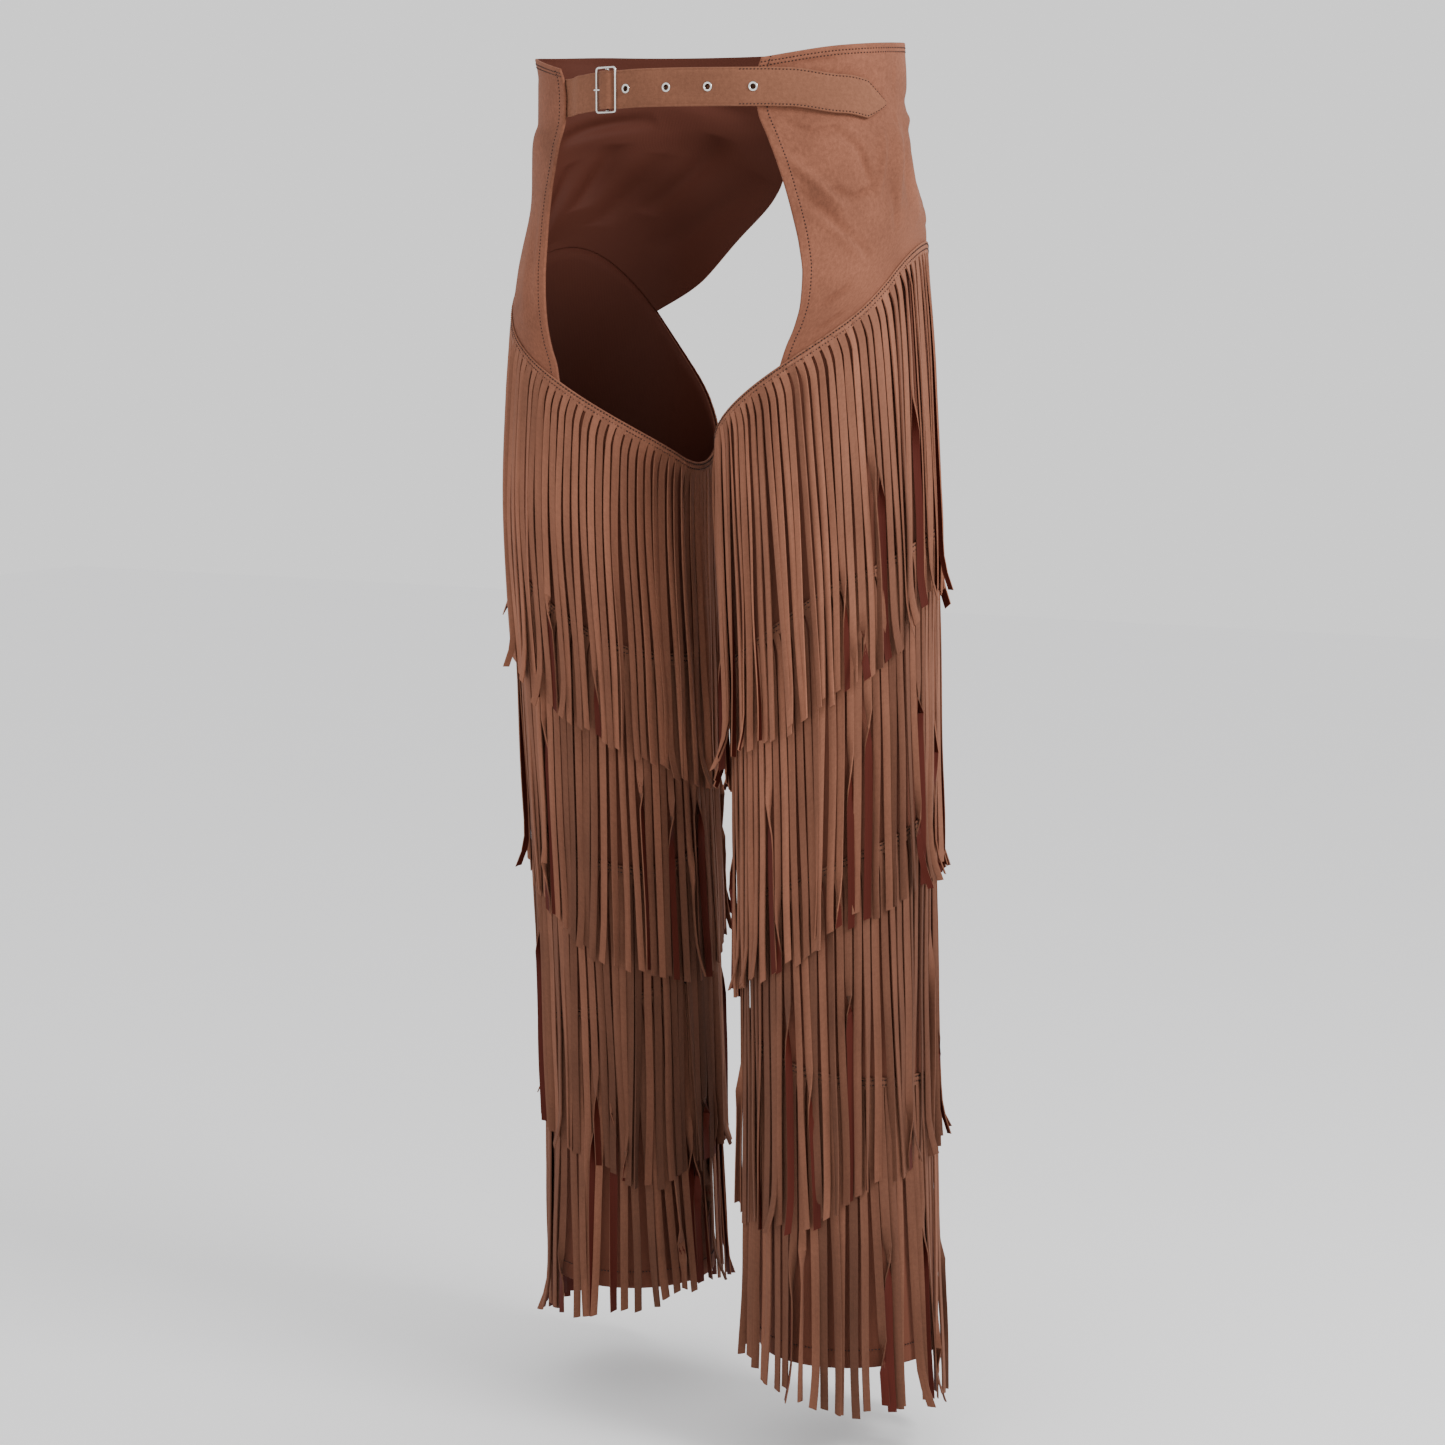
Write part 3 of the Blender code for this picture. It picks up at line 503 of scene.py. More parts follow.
# Angle round the waist, height
TOP_EDGE = np.array([(33.0, 0.0234), (60.0, 0.0325), (90.0, 0.037), (124.0, 0.040), (180.0, 0.040)])
# The angles round the leg between which the lower edge runs, the first by side
PANEL_FROM = {1: 9.969, -1: -3.877}
PANEL_TO = 162.277
# The share of the way up where the panel has left the leg's oval
PANEL_BLEND = 0.5
print("rows of the front edges:", {side: len(rows) for side, rows in FRONT_EDGE.items()})

# %% [markdown]
# To fill the patch, each place on it has a share of the way back and a rise from the leg to the top edge. The
# level edges are mixed by the rise, the upright ones by the share, and the corners are taken off once, as they
# would count twice. This keeps all four edges exactly where the tables put them.

# %% Hip panel surface
def leg_angle_of(side, points):
    row = leg_row(side, points[..., 2])
    x, y = points[..., 0] - row[..., 0], points[..., 1] - row[..., 1]
    return np.degrees(np.arctan2(side * x / row[..., 2], -y / row[..., 3]))


def waist_angle_of(side, points):
    row = smooth_rows(TORSO, points[..., 2])
    return np.degrees(np.arctan2(side * points[..., 0] / row[..., 0], -points[..., 1] / row[..., 1]))


def panel_point(side, share, rise, out):
    """Points of a hip panel. share runs from the front edge to the back, rise from the leg to the top."""
    share, rise, out = np.broadcast_arrays(*(np.asarray(v, float) for v in (share, rise, out)))
    edge = FRONT_EDGE[side]
    leg_turn = PANEL_FROM[side] + (PANEL_TO - PANEL_FROM[side]) * share
    low_height = line_height(side, 0, leg_turn) + 0.0003
    low_turn = waist_angle_of(side, leg_at(side, leg_turn, low_height, 0.0))
    corner = np.array([PANEL_FROM[side], PANEL_TO])
    corner_height = line_height(side, 0, corner) + 0.0003
    corner_turn = waist_angle_of(side, leg_at(side, corner, corner_height, 0.0))
    top_turn = edge[0, 1] + (CENTRE_BACK_ANGLE - edge[0, 1]) * share
    top_height = smooth_rows(TOP_EDGE, top_turn)[..., 0]
    ends = smooth_rows(TOP_EDGE, np.array([edge[0, 1], CENTRE_BACK_ANGLE]))[:, 0]
    front = np.vstack([edge, (corner_height[0], corner_turn[0])])
    back = np.vstack([BACK_EDGE, (corner_height[1], corner_turn[1])])
    front_turn = smooth_rows(front, corner_height[0] + (ends[0] - corner_height[0]) * rise)[..., 0]
    back_turn = smooth_rows(back, corner_height[1] + (ends[1] - corner_height[1]) * rise)[..., 0]
    turn = (1 - rise) * low_turn + rise * top_turn
    turn += (1 - share) * (front_turn - (1 - rise) * corner_turn[0] - rise * edge[0, 1])
    turn += share * (back_turn - (1 - rise) * corner_turn[1] - rise * CENTRE_BACK_ANGLE)
    height = (1 - rise) * low_height + rise * top_height
    blend = np.clip(rise / PANEL_BLEND, 0, 1)
    blend = (blend * blend * (3 - 2 * blend))[..., None]
    start = torso_at(side, low_turn, low_height, 0.0)
    shift = (leg_turn - leg_angle_of(side, start)) * (1 - rise)
    on_hip = torso_at(side, turn, height, 0.0)
    low = leg_at(side, leg_angle_of(side, on_hip) + shift, height, out)
    return (1 - blend) * low + blend * torso_at(side, turn, height, out)


print("front corner of the left panel:", panel_point(1, 0.0, 0.0, 0.0).round(3))

# %% [markdown]
# Worn cloth is never as smooth as its pattern. Each row below is one soft fold on a hip panel: where it starts
# and ends on the panel, how high it stands and how wide it is. Shares run from the front edge (0) to the back
# (1) and from the leg (0) to the top edge (1). The folds pull from the side of the hip down towards the inside
# of the leg, as they do when the hip carries the weight. A cloth simulation could make folds too, but not the
# ones in the photo, and not the same ones on each run.

# %% Folds of the hip panels
# share and rise where the fold starts, share and rise where it ends, height, half width as a share
HIP_FOLDS = {
    1: (
        (0.010, 0.690, 0.140, 0.440, 0.0043, 0.0130),
        (0.015, 0.580, 0.140, 0.370, -0.0035, 0.0125),
        (0.040, 0.497, 0.190, 0.260, 0.0025, 0.0125),
        (0.082, 0.440, 0.230, 0.240, -0.0019, 0.0120),
        (0.042, 0.787, 0.100, 0.715, -0.0023, 0.0120),
        (0.084, 0.727, 0.168, 0.718, -0.0023, 0.0110),
        (0.150, 0.725, 0.214, 0.625, -0.0023, 0.0110),
        (0.204, 0.653, 0.236, 0.490, -0.0032, 0.0105),
        (0.242, 0.486, 0.150, 0.478, -0.0035, 0.0105),
        (0.170, 0.478, 0.104, 0.540, -0.0026, 0.0105),
        (0.298, 0.680, 0.250, 0.430, 0.0032, 0.0130),
        (0.304, 0.483, 0.336, 0.273, -0.0026, 0.0150),
        (0.060, 0.165, 0.162, 0.182, -0.0028, 0.0120),
        (0.084, 0.068, 0.190, 0.080, -0.0020, 0.0110),
        (0.060, 0.955, 0.180, 0.950, -0.0026, 0.0120),
        (0.36, 0.72, 0.33, 0.34, 0.0044, 0.030),
        (0.40, 0.62, 0.42, 0.30, -0.0022, 0.022),
        (0.42, 0.64, 0.74, 0.66, 0.0030, 0.022),
        (0.44, 0.73, 0.70, 0.75, -0.0018, 0.026),
        (0.47, 0.50, 0.50, 0.16, 0.0018, 0.034),
        (0.59, 0.52, 0.62, 0.20, 0.0022, 0.040),
        (0.70, 0.56, 0.64, 0.10, 0.0036, 0.034),
        (0.82, 0.60, 0.72, 0.22, 0.0040, 0.032),
        (0.94, 0.56, 0.82, 0.10, 0.0032, 0.032),
        (0.76, 0.80, 0.96, 0.72, 0.0028, 0.032),
    ),
    -1: (
        (0.02, 0.62, 0.03, 0.20, 0.0018, 0.030),
        (0.04, 0.84, 0.26, 0.70, 0.0012, 0.050),
        (0.10, 0.44, 0.12, 0.10, 0.0014, 0.040),
        (0.34, 0.58, 0.36, 0.22, 0.0034, 0.036),
        (0.42, 0.64, 0.70, 0.68, 0.0040, 0.026),
        (0.48, 0.52, 0.46, 0.14, 0.0034, 0.030),
        (0.60, 0.56, 0.58, 0.24, 0.0042, 0.032),
        (0.72, 0.50, 0.68, 0.12, 0.0030, 0.036),
        (0.84, 0.62, 0.76, 0.20, 0.0040, 0.030),
        (0.95, 0.50, 0.86, 0.08, 0.0030, 0.034),
        (0.70, 0.82, 0.92, 0.74, 0.0026, 0.034),
    ),
}


def fold_relief(share, rise, table):
    """Height of the folds at these places on the panel."""
    total = np.zeros(np.broadcast(share, rise).shape)
    for s0, r0, s1, r1, height, half in table:
        run = np.array([s1 - s0, r1 - r0])
        t = ((share - s0) * run[0] + (rise - r0) * run[1]) / (run @ run)
        nearest = np.clip(t, 0, 1)
        away = np.hypot(share - s0 - nearest * run[0], (rise - r0 - nearest * run[1]) * 0.8)
        along_it = np.clip(1 - (2 * t - 1) ** 2, 0, 1) ** 0.7
        total += height * along_it * np.exp(-((away / half) ** 2))
    return total


print("folds on the left and right panel:", len(HIP_FOLDS[1]), len(HIP_FOLDS[-1]))

# %% [markdown]
# The panel's edges are turned in and sewn down: a strip along each edge is one layer thicker, the row of
# stitches pulls a groove into it, and the very edge is rounded. All three depend on how far a point is from an
# edge, so the distances are measured on the grid first. The steps of the grid are close near the edges, where
# the form is finest.

# %% Sewn edges
TURNING = 0.0075
TURNING_THICKNESS = 0.0004
PANEL_TOP_ROWS = (0.0040, 0.0070)
PANEL_EDGE_ROW = 0.0070
FINE_STRIP, FINE_STEP = 0.010, 0.0008


def edge_spacing(count, length):
    """Shares from 0 to 1 over this length in metres, with close steps near both ends for the sewn edges."""
    ends = np.arange(0, FINE_STRIP + FINE_STEP / 2, FINE_STEP) / length
    middle = np.linspace(ends[-1], 1 - ends[-1], count)[1:-1]
    return np.concatenate([ends, middle, 1 - ends[::-1]])


def groove(away, row, depth=0.00035, half=0.0008):
    return -depth * np.exp(-(((away - row) / half) ** 2))


def edge_distances(grid):
    """Metres from the top, front and back edge, for each point of a panel's grid."""
    down = np.linalg.norm(np.diff(grid, axis=0), axis=-1)
    across = np.linalg.norm(np.diff(grid, axis=1), axis=-1)
    from_top = np.concatenate([np.cumsum(down[::-1], axis=0)[::-1], np.zeros((1, grid.shape[1]))])
    from_front = np.concatenate([np.zeros((len(grid), 1)), np.cumsum(across, axis=1)], axis=1)
    return from_top, from_front, from_front[:, -1:] - from_front


print("grid steps across a panel:", len(edge_spacing(150, 0.33)))

# %% [markdown]
# The relief of a panel is the sum of its folds and a slight ripple, faded out where the cloth is held: at the
# sewn edges, at the leg, and under the strap. The free front corner of the top edge leans out a little, and on
# the right side it sags.

# %% Hip panels
PANEL_LENGTH, PANEL_HEIGHT = 0.33, 0.20
FADE = 0.012
RIPPLE, RIPPLE_RISE = 0.0003, 0.0004
STRAP_REACH, STRAP_FADE, STRAP_PRESS = 0.014, 0.006, 0.96
# What is left of the relief at the front and the back edge
FRONT_SHARE, BACK_SHARE = 0.12, 0.05
# The share of the panel's height over which it rises from the leg
LEG_FADE = 0.06
ROUNDING, ROUNDING_WIDTH = 0.0005, 0.0008
# The strap lies outside the panel up to the first angle, and presses its turned edge flat beyond the second
STRAP_TURNS = (88, 44)
# By side: how far the top edge leans out at the front, and how far its front corner sags
TOP_FLARE = {1: 0.0008, -1: 0.0032}
TOP_SAG = {1: 0.0, -1: 0.0030}
panels, panel_grids = {}, {}
for name, side in SIDES:
    shares = edge_spacing(150, PANEL_LENGTH)[None, :]
    rises = edge_spacing(100, PANEL_HEIGHT)[:, None]
    flat_grid = panel_point(side, shares, rises, 0.0)
    from_top, from_front, from_back = edge_distances(flat_grid)
    chance = np.random.default_rng(5 + side)
    ripple = sum(
        RIPPLE * np.sin(chance.uniform(8, 26) * shares + chance.uniform(6, 20) * rises + chance.uniform(0, 6))
        for _ in range(5)
    )
    height = flat_grid[..., 2]
    turn = waist_angle_of(side, flat_grid)
    beyond_strap = np.clip(np.abs(height) - STRAP_REACH, 0, 1) / STRAP_FADE
    under_strap = np.exp(-(beyond_strap**2)) * (turn < STRAP_TURNS[0])
    relief = fold_relief(shares, rises, HIP_FOLDS[side]) + (ripple + RIPPLE_RISE)
    relief = relief * (1 - STRAP_PRESS * under_strap)
    relief = relief * np.clip(from_top / FADE, 0, 1) * np.clip(from_front / FADE, FRONT_SHARE, 1)
    relief = relief * np.clip(rises / LEG_FADE, 0, 1) * np.clip(from_back / FADE, BACK_SHARE, 1)
    edge = np.minimum(np.minimum(from_top, from_front), from_back)
    turning = np.clip(1 - (edge - TURNING) / 0.0010, 0, 1) * TURNING_THICKNESS
    turning = turning * (1 - 0.9 * under_strap * (turn > STRAP_TURNS[1]))
    seams = groove(from_top, PANEL_TOP_ROWS[0]) + groove(from_top, PANEL_TOP_ROWS[1])
    seams = seams + groove(from_front, PANEL_EDGE_ROW) + groove(from_back, PANEL_EDGE_ROW)
    rounding = -ROUNDING * np.clip(1 - edge / ROUNDING_WIDTH, 0, 1) ** 2
    lean = np.clip((height - 0.016) / 0.018, 0, 1) ** 1.5 * np.clip(1.3 - shares / 0.5, 0, 1)
    relief = relief + TOP_FLARE[side] * lean
    seams = seams * (1 - 0.5 * under_strap)
    face = panel_point(side, shares, rises, WALL + relief + turning + seams + rounding)
    back = panel_point(side, shares, rises, relief)
    sag = TOP_SAG[side] * np.clip(1 - shares / 0.20, 0, 1) * np.clip((rises - 0.80) / 0.20, 0, 1) ** 1.5
    face[..., 2] -= sag
    back[..., 2] -= sag
    piece = cloth_shell("hip_cloth_" + name, face, back, [hip_suede, panel_back], length_uv(flat_grid), False)
    panels[name] = piece
    panel_grids[name] = (face, from_top, from_front, from_back)
    print(piece.name, len(piece.data.polygons), "faces")

# %% [markdown]
# Each leg is one tube of cloth behind the fringe. Little of it shows: the hem between the lowest strands, and
# slivers where strands part. It still has the same length, soft wrinkles and turned hem as the real one. The
# wrinkles only go inwards, so that the tube stays clear of the fringe.

# %% Legs
HEM_TURNING = 0.016
HEM_ROW = HEM_TURNING - 0.002
LEG_COLUMNS = 180
LEG_INSET, LEG_WRINKLES, DEEPEST = 0.0008, 0.0018, 0.003


def soft_wrinkles(degrees, height, seed, depth):
    """A mean of seven slow waves that run slanting round the leg."""
    chance = np.random.default_rng(seed)
    total = 0.0
    for _ in range(7):
        waves = chance.integers(1, 5)
        wave = np.radians(degrees) * waves + height * chance.uniform(8, 40) + chance.uniform(0, 6)
        total = total + np.sin(wave)
    return depth * total / 7


legs = {}
for name, side in SIDES:
    degrees = np.linspace(-180, 180, LEG_COLUMNS + 1)[:-1][None, :]
    share = np.concatenate([np.linspace(0, 0.96, 80), np.linspace(0.96, 1.0, 22)[1:]])[:, None]
    top = line_height(side, 0, degrees)
    height = top + (hem_height(side) - top) * share
    inward = np.clip(soft_wrinkles(degrees, height, 11 + side, LEG_WRINKLES) - LEG_INSET, -DEEPEST, 0.0)
    inward = inward * np.clip(share / 0.05, 0, 1)
    above_hem = height - hem_height(side)
    turned_hem = TURNING_THICKNESS * (above_hem < HEM_TURNING) + groove(above_hem, HEM_ROW, 0.0004, 0.001)
    face = leg_at(side, degrees, height, WALL + inward + turned_hem)
    back = leg_at(side, degrees, height, inward)
    legs[name] = cloth_shell("leg_cloth_" + name, face, back, [leg_suede, panel_back], length_uv(face), True)
print("leg faces:", len(legs["left"].data.polygons))

# %% [markdown]
# The fringe is what the eye goes to. On the real object a strip of cloth is slit into strands from below, up to
# a band that stays whole and is sewn to the leg. Here the band is one strip, and each strand is a strip of its
# own that starts inside it, so that each can hang, turn and curl in its own way. A hair system could hang
# strands too, but these are flat, wide strips whose edges and faces show, so mesh suits them. First come the
# sizes, in metres, for the four lengths from the top one down.

# %% Fringe sizes
STRANDS = (84, 75, 68, 60)
STRAND_LENGTH = 0.2475
STRAND_THICKNESS = 0.0010
# How much each length's strands narrow to their tips
TAPER = (0.10, 0.08, 0.05, 0.03)
SLIT = 0.0007
BAND_HEIGHT = 0.0082
BAND_OUT = WALL + 0.0003
BAND_THICKNESS = 0.0012
# The top band reaches this far over the seam between leg and hip panel
BAND_COVER = 0.002
# Shares of a strand's length where it has points, closest near the root, where it bends most
STEPS = np.concatenate([[0.0, 0.008, 0.02, 0.038, 0.06, 0.09, 0.125], np.linspace(0.17, 1.0, 17)])


def smooth_noise(chance, count, knots):
    """A smooth random curve round the leg, one number for each strand, so that neighbours are alike."""
    values = chance.normal(size=knots)
    values = np.append(values, values[0])
    return np.interp(np.arange(count) * knots / count, np.arange(knots + 1), values)


def bump_at(degrees, place, half_width):
    """1 at this angle round the leg, and less away from it."""
    return np.exp(-(((degrees - place) / half_width) ** 2))


print("strands in all:", 2 * sum(STRANDS))

# %% [markdown]
# Every strand gets its own random numbers. The seed is fixed, so the same fringe grows on each run. A strand's
# cut width is its share of the way round, less the slit. Slits are cut square to the band, so below a slanting
# band each strand narrows and leans before it hangs straight. Over the outer hip the strands spread and part,
# because the hip pushes them out, and more so on the left.

# %% Width of the strands
ROOT_OPENING = 0.18
OUTER_HIP, OUTER_HIP_WIDTH = 95, 42
# By side: how much wider the slits are there, how much more the strands turn, and how far they face away
HIP_SLIT = {1: 1.4, -1: 0.4}
HIP_TWIST = {1: 1.3, -1: 0.4}
HIP_FACING = {1: 2.6, -1: 1.9}


def strand_widths(chance, side, tier, middle, pitch, per_degree, lean, t):
    count = STRANDS[tier]
    outer_hip = bump_at(middle, OUTER_HIP, OUTER_HIP_WIDTH)
    slit = SLIT * chance.uniform(0.5, 1.6, count) * (1 + HIP_SLIT[side] * outer_hip)
    width = per_degree[:, :1] * pitch - slit[:, None]
    width = width * (1 - TAPER[tier] * t) * (1 + 0.03 * chance.normal(size=count)[:, None])
    opening = np.exp(-(((t - 0.055) / 0.055) ** 2)) * chance.uniform(0.3, 1.5, count)[:, None]
    return width * (1 - ROOT_OPENING * np.abs(lean) * opening)


print("pitch of the strands in degrees:", [round(360 / n, 2) for n in STRANDS])

# %% [markdown]
# Each strand turns about its own middle line: gently for most, more for about one in five, and right over for a
# few, which then show the satin reverse. More turn over where the strands crowd behind their neighbours, at the
# outside of the left leg and at the inside of the right leg. There they also lie in the others' shade, and the
# same table paints that shade into their tone as a darker colour, more towards the tips.

# %% Turn of the strands
# In radians: each strand's own turn, and the one that it shares with its neighbours
OWN_TURN, SHARED_TURN = 0.17, 0.20
# How far strands on a slanting band face up it, and how much that varies
BAND_FACING, BAND_FACING_VARIES = 0.30, 0.26
STRONG_SHARE, STRONG_TURN = 0.22, (0.5, 1.25)
# The shares of strands that turn right over, how far, where on the strand and within what run
TURNED_SHARE = (0.08, 0.15, 0.19, 0.20)
OVER_TURN, OVER_START, OVER_RUN = (2.2, 3.3), (0.25, 0.85), (0.12, 0.3)
# For each length: (angle, half width, amount)
CROWDED = {
    1: (((68, 22, 2.4),), ((76, 17, 2.2), (112, 20, 0.8)), ((62, 40, 0.9), (112, 20, 0.8)), ((50, 25, 0.8),)),
    -1: (
        ((-15, 22, 1.4), (-66, 18, 1.3)), ((-8, 13, 2.2), (-66, 18, 1.6), (-90, 18, 1.0)),
        ((-17, 18, 1.6), (-66, 16, 1.2), (-90, 18, 1.0)), ((-90, 18, 0.8),),
    ),
}


def crowding(side, tier, middle):
    total = np.zeros(len(middle))
    for place, half_width, amount in CROWDED[side][tier]:
        total = total + amount * bump_at(middle, place, half_width)
    return total


def strand_twist(chance, side, tier, middle, lean, t):
    """Radians that each strand has turned, at each of its points."""
    count = STRANDS[tier]
    outer_hip = bump_at(middle, OUTER_HIP, OUTER_HIP_WIDTH)
    gentle = OWN_TURN * chance.normal(size=count) + SHARED_TURN * smooth_noise(chance, count, 20)
    twist = (gentle * (1 + HIP_TWIST[side] * outer_hip))[:, None] * t**0.7
    settled = np.clip(t / 0.05, 0, 1) * (0.35 + 0.65 * np.exp(-t / 0.35))
    turned_away = BAND_FACING * (1 - HIP_FACING[side] * outer_hip)
    turned_away = turned_away + BAND_FACING_VARIES * chance.normal(size=count)
    twist = twist + lean * turned_away[:, None] * settled
    strong = chance.random(count) < STRONG_SHARE
    strength = strong * chance.uniform(*STRONG_TURN, count) * chance.choice([-1, 1], count)
    twist = twist + strength[:, None] * t**1.2
    over = chance.random(count) < TURNED_SHARE[tier] * (1 + 0.5 * crowding(side, tier, middle))
    start = chance.uniform(*OVER_START, count)[:, None]
    turning = np.clip((t - start) / chance.uniform(*OVER_RUN, count)[:, None], 0, 1)
    turning = turning * turning * (3 - 2 * turning)
    return twist + (over * chance.uniform(*OVER_TURN, count) * chance.choice([-1, 1], count))[:, None] * turning


print("most crowded places add up to:", round(float(crowding(1, 0, np.arange(0.0, 180.0)).max()), 2))

# %% [markdown]
# A strand also sways to the side, where neighbours lean together and each wanders a little, and stands off the
# leg, more towards the tip. One in five tips curls. On the outside of the leg they lie close. A strand that has
# turned needs more room, so it is moved out by half of the width that it turns.

# %% Sway and distance out
ROOT_LEAN = 0.0042
# In metres at the tip: shared with the neighbours, each strand's own, and a wander on the way
SHARED_SWAY, OWN_SWAY, WANDER = 0.0038, 0.0021, 0.0008
TIP_FLARE = 0.0068
SHARED_LIFT, OWN_LIFT = 0.0016, 0.0010
CURLED_SHARE, CURL, CURL_FROM = 0.20, (0.004, 0.010), 0.86
BEND, LAYERING = 0.0007, 0.0011
# The lowest length has nothing below it to lie on, so it sways more
LOWEST_SWAY = 1.35
CLOSE_SIDE, CLOSE_SIDE_WIDTH = 85, 55


def strand_sway(chance, tier, lean, t):
    """Metres to the side at each point, and a random phase for each strand."""
    count = STRANDS[tier]
    sway = SHARED_SWAY * smooth_noise(chance, count, 18) + OWN_SWAY * chance.normal(size=count)
    sway = sway[:, None] * t**1.4
    sway = sway * (LOWEST_SWAY if tier == 3 else 1.0) - ROOT_LEAN * lean * np.clip(1 - t / 0.075, 0, 1) ** 2
    phase = chance.uniform(0, 2 * math.pi, count)[:, None]
    wander = WANDER * np.sin(2 * math.pi * 1.3 * t + phase) * t * chance.uniform(0.2, 1.4, count)[:, None]
    return sway + wander, phase


def strand_out(chance, tier, middle, phase, twist, width, t):
    """Metres from the leg's oval to the middle of each strand."""
    count = STRANDS[tier]
    lift = SHARED_LIFT * np.clip(smooth_noise(chance, count, 14), -0.9, 2)
    lift = lift + OWN_LIFT * np.abs(chance.normal(size=count))
    close = 1 - 0.85 * bump_at(middle, CLOSE_SIDE, CLOSE_SIDE_WIDTH)
    out = (TIP_FLARE * close)[:, None] * t**0.8 + (lift * (0.4 + 0.6 * close))[:, None] * t**1.5
    curled = chance.random(count) < CURLED_SHARE
    curl = (curled * chance.uniform(*CURL, count))[:, None]
    curl = curl * np.clip((t - CURL_FROM) / (1 - CURL_FROM), 0, 1) ** 2
    bend = BEND * np.sin(2 * math.pi * chance.uniform(0.8, 2.0, count)[:, None] * t + phase) * t
    out = out + curl + bend + np.abs(np.sin(twist)) * width / 2 * 0.8
    out = out + BAND_OUT + BAND_THICKNESS / 2
    layer = (chance.random(count) * LAYERING)[:, None] * np.clip(t * 6, 0, 1)
    return np.maximum(out + layer, BAND_OUT + STRAND_THICKNESS / 2)


print("the tips stand", round((BAND_OUT + TIP_FLARE) * 1000, 1), "mm off the leg")

# %% [markdown]
# All strands of one length are one mesh, because hundreds of objects would be slow to handle. Each strand is a
# tube with eight corners: five on its face, which is slightly cupped, and three on its back. The corners are
# numbered by (strand, point along it, corner), and the faces follow from that order.

# %% Strand mesh
# Across a strand: share of its width, side (1 face, -1 back), share of its cup
SECTION = (
    (-0.5, 1, 0), (-0.25, 1, 0.75), (0.0, 1, 1), (0.25, 1, 0.75), (0.5, 1, 0),
    (0.5, -1, 0), (0.0, -1, 1), (-0.5, -1, 0),
)
# The faces that close a strand's end, by the corners' numbers
END_FACES = ((0, 7, 6, 2), (2, 6, 5, 4), (0, 2, 1), (2, 4, 3))
SHARP = math.radians(50)


def strand_faces(count):
    """Faces of all strands and the material slot of each. Slot 1 is the reverse."""
    corners = len(SECTION)
    number = np.arange(count * len(STEPS) * corners).reshape(count, len(STEPS), corners)
    following = np.roll(number, -1, axis=2)
    sides = np.stack([number[:, :-1], following[:, :-1], following[:, 1:], number[:, 1:]], axis=-1)
    slot = np.zeros(sides.shape[:3], int)
    slot[:, :, 5:7] = 1
    ends = []
    for strand in range(count):
        for ring, way in ((number[strand, 0], 1), (number[strand, -1], -1)):
            ends += [tuple(int(ring[k]) for k in face)[::way] for face in END_FACES]
    return [tuple(face) for face in sides.reshape(-1, 4)] + ends, list(slot.reshape(-1)) + [0] * len(ends)


print("faces in the longest row of strands:", len(strand_faces(STRANDS[0])[0]))

# %% [markdown]
# Now the numbers come together. The order of the random draws matters: a draw moved to another place would
# change every strand after it. The UV map runs along each strand from its root, with a shift for each strand,
# so that no two have the same grain. A tone for each point makes strands lighter or darker than their
# neighbours at random. It also carries painted light and shade: each lower length is drawn darker, and so are
# the crowded strands.

# %% Fringes
# Painted light and shade: the top length is drawn lighter and each lower one darker, as the light falls off
# lower down
TIER_PAINTED_SHADE = (1.1, -0.6, -2.2, -2.5)
# Painted shade: how much darker the crowded strands are drawn
CROWDED_PAINTED_SHADE = 1.7
ROOT_IN_BAND = 0.0012
ROOT_VARIES, LENGTH_VARIES, SHARED_LENGTH = 0.0011, 0.0022, 0.003
CUP, CUP_VARIES = 0.00025, 0.00035
# How far the grain moves, across and along, from one strand to the next
GRAIN_SHIFT = (0.02, 0.013)


def band_top(side, tier, degrees):
    return line_height(side, tier, degrees) + (BAND_COVER if tier == 0 else 0.0)


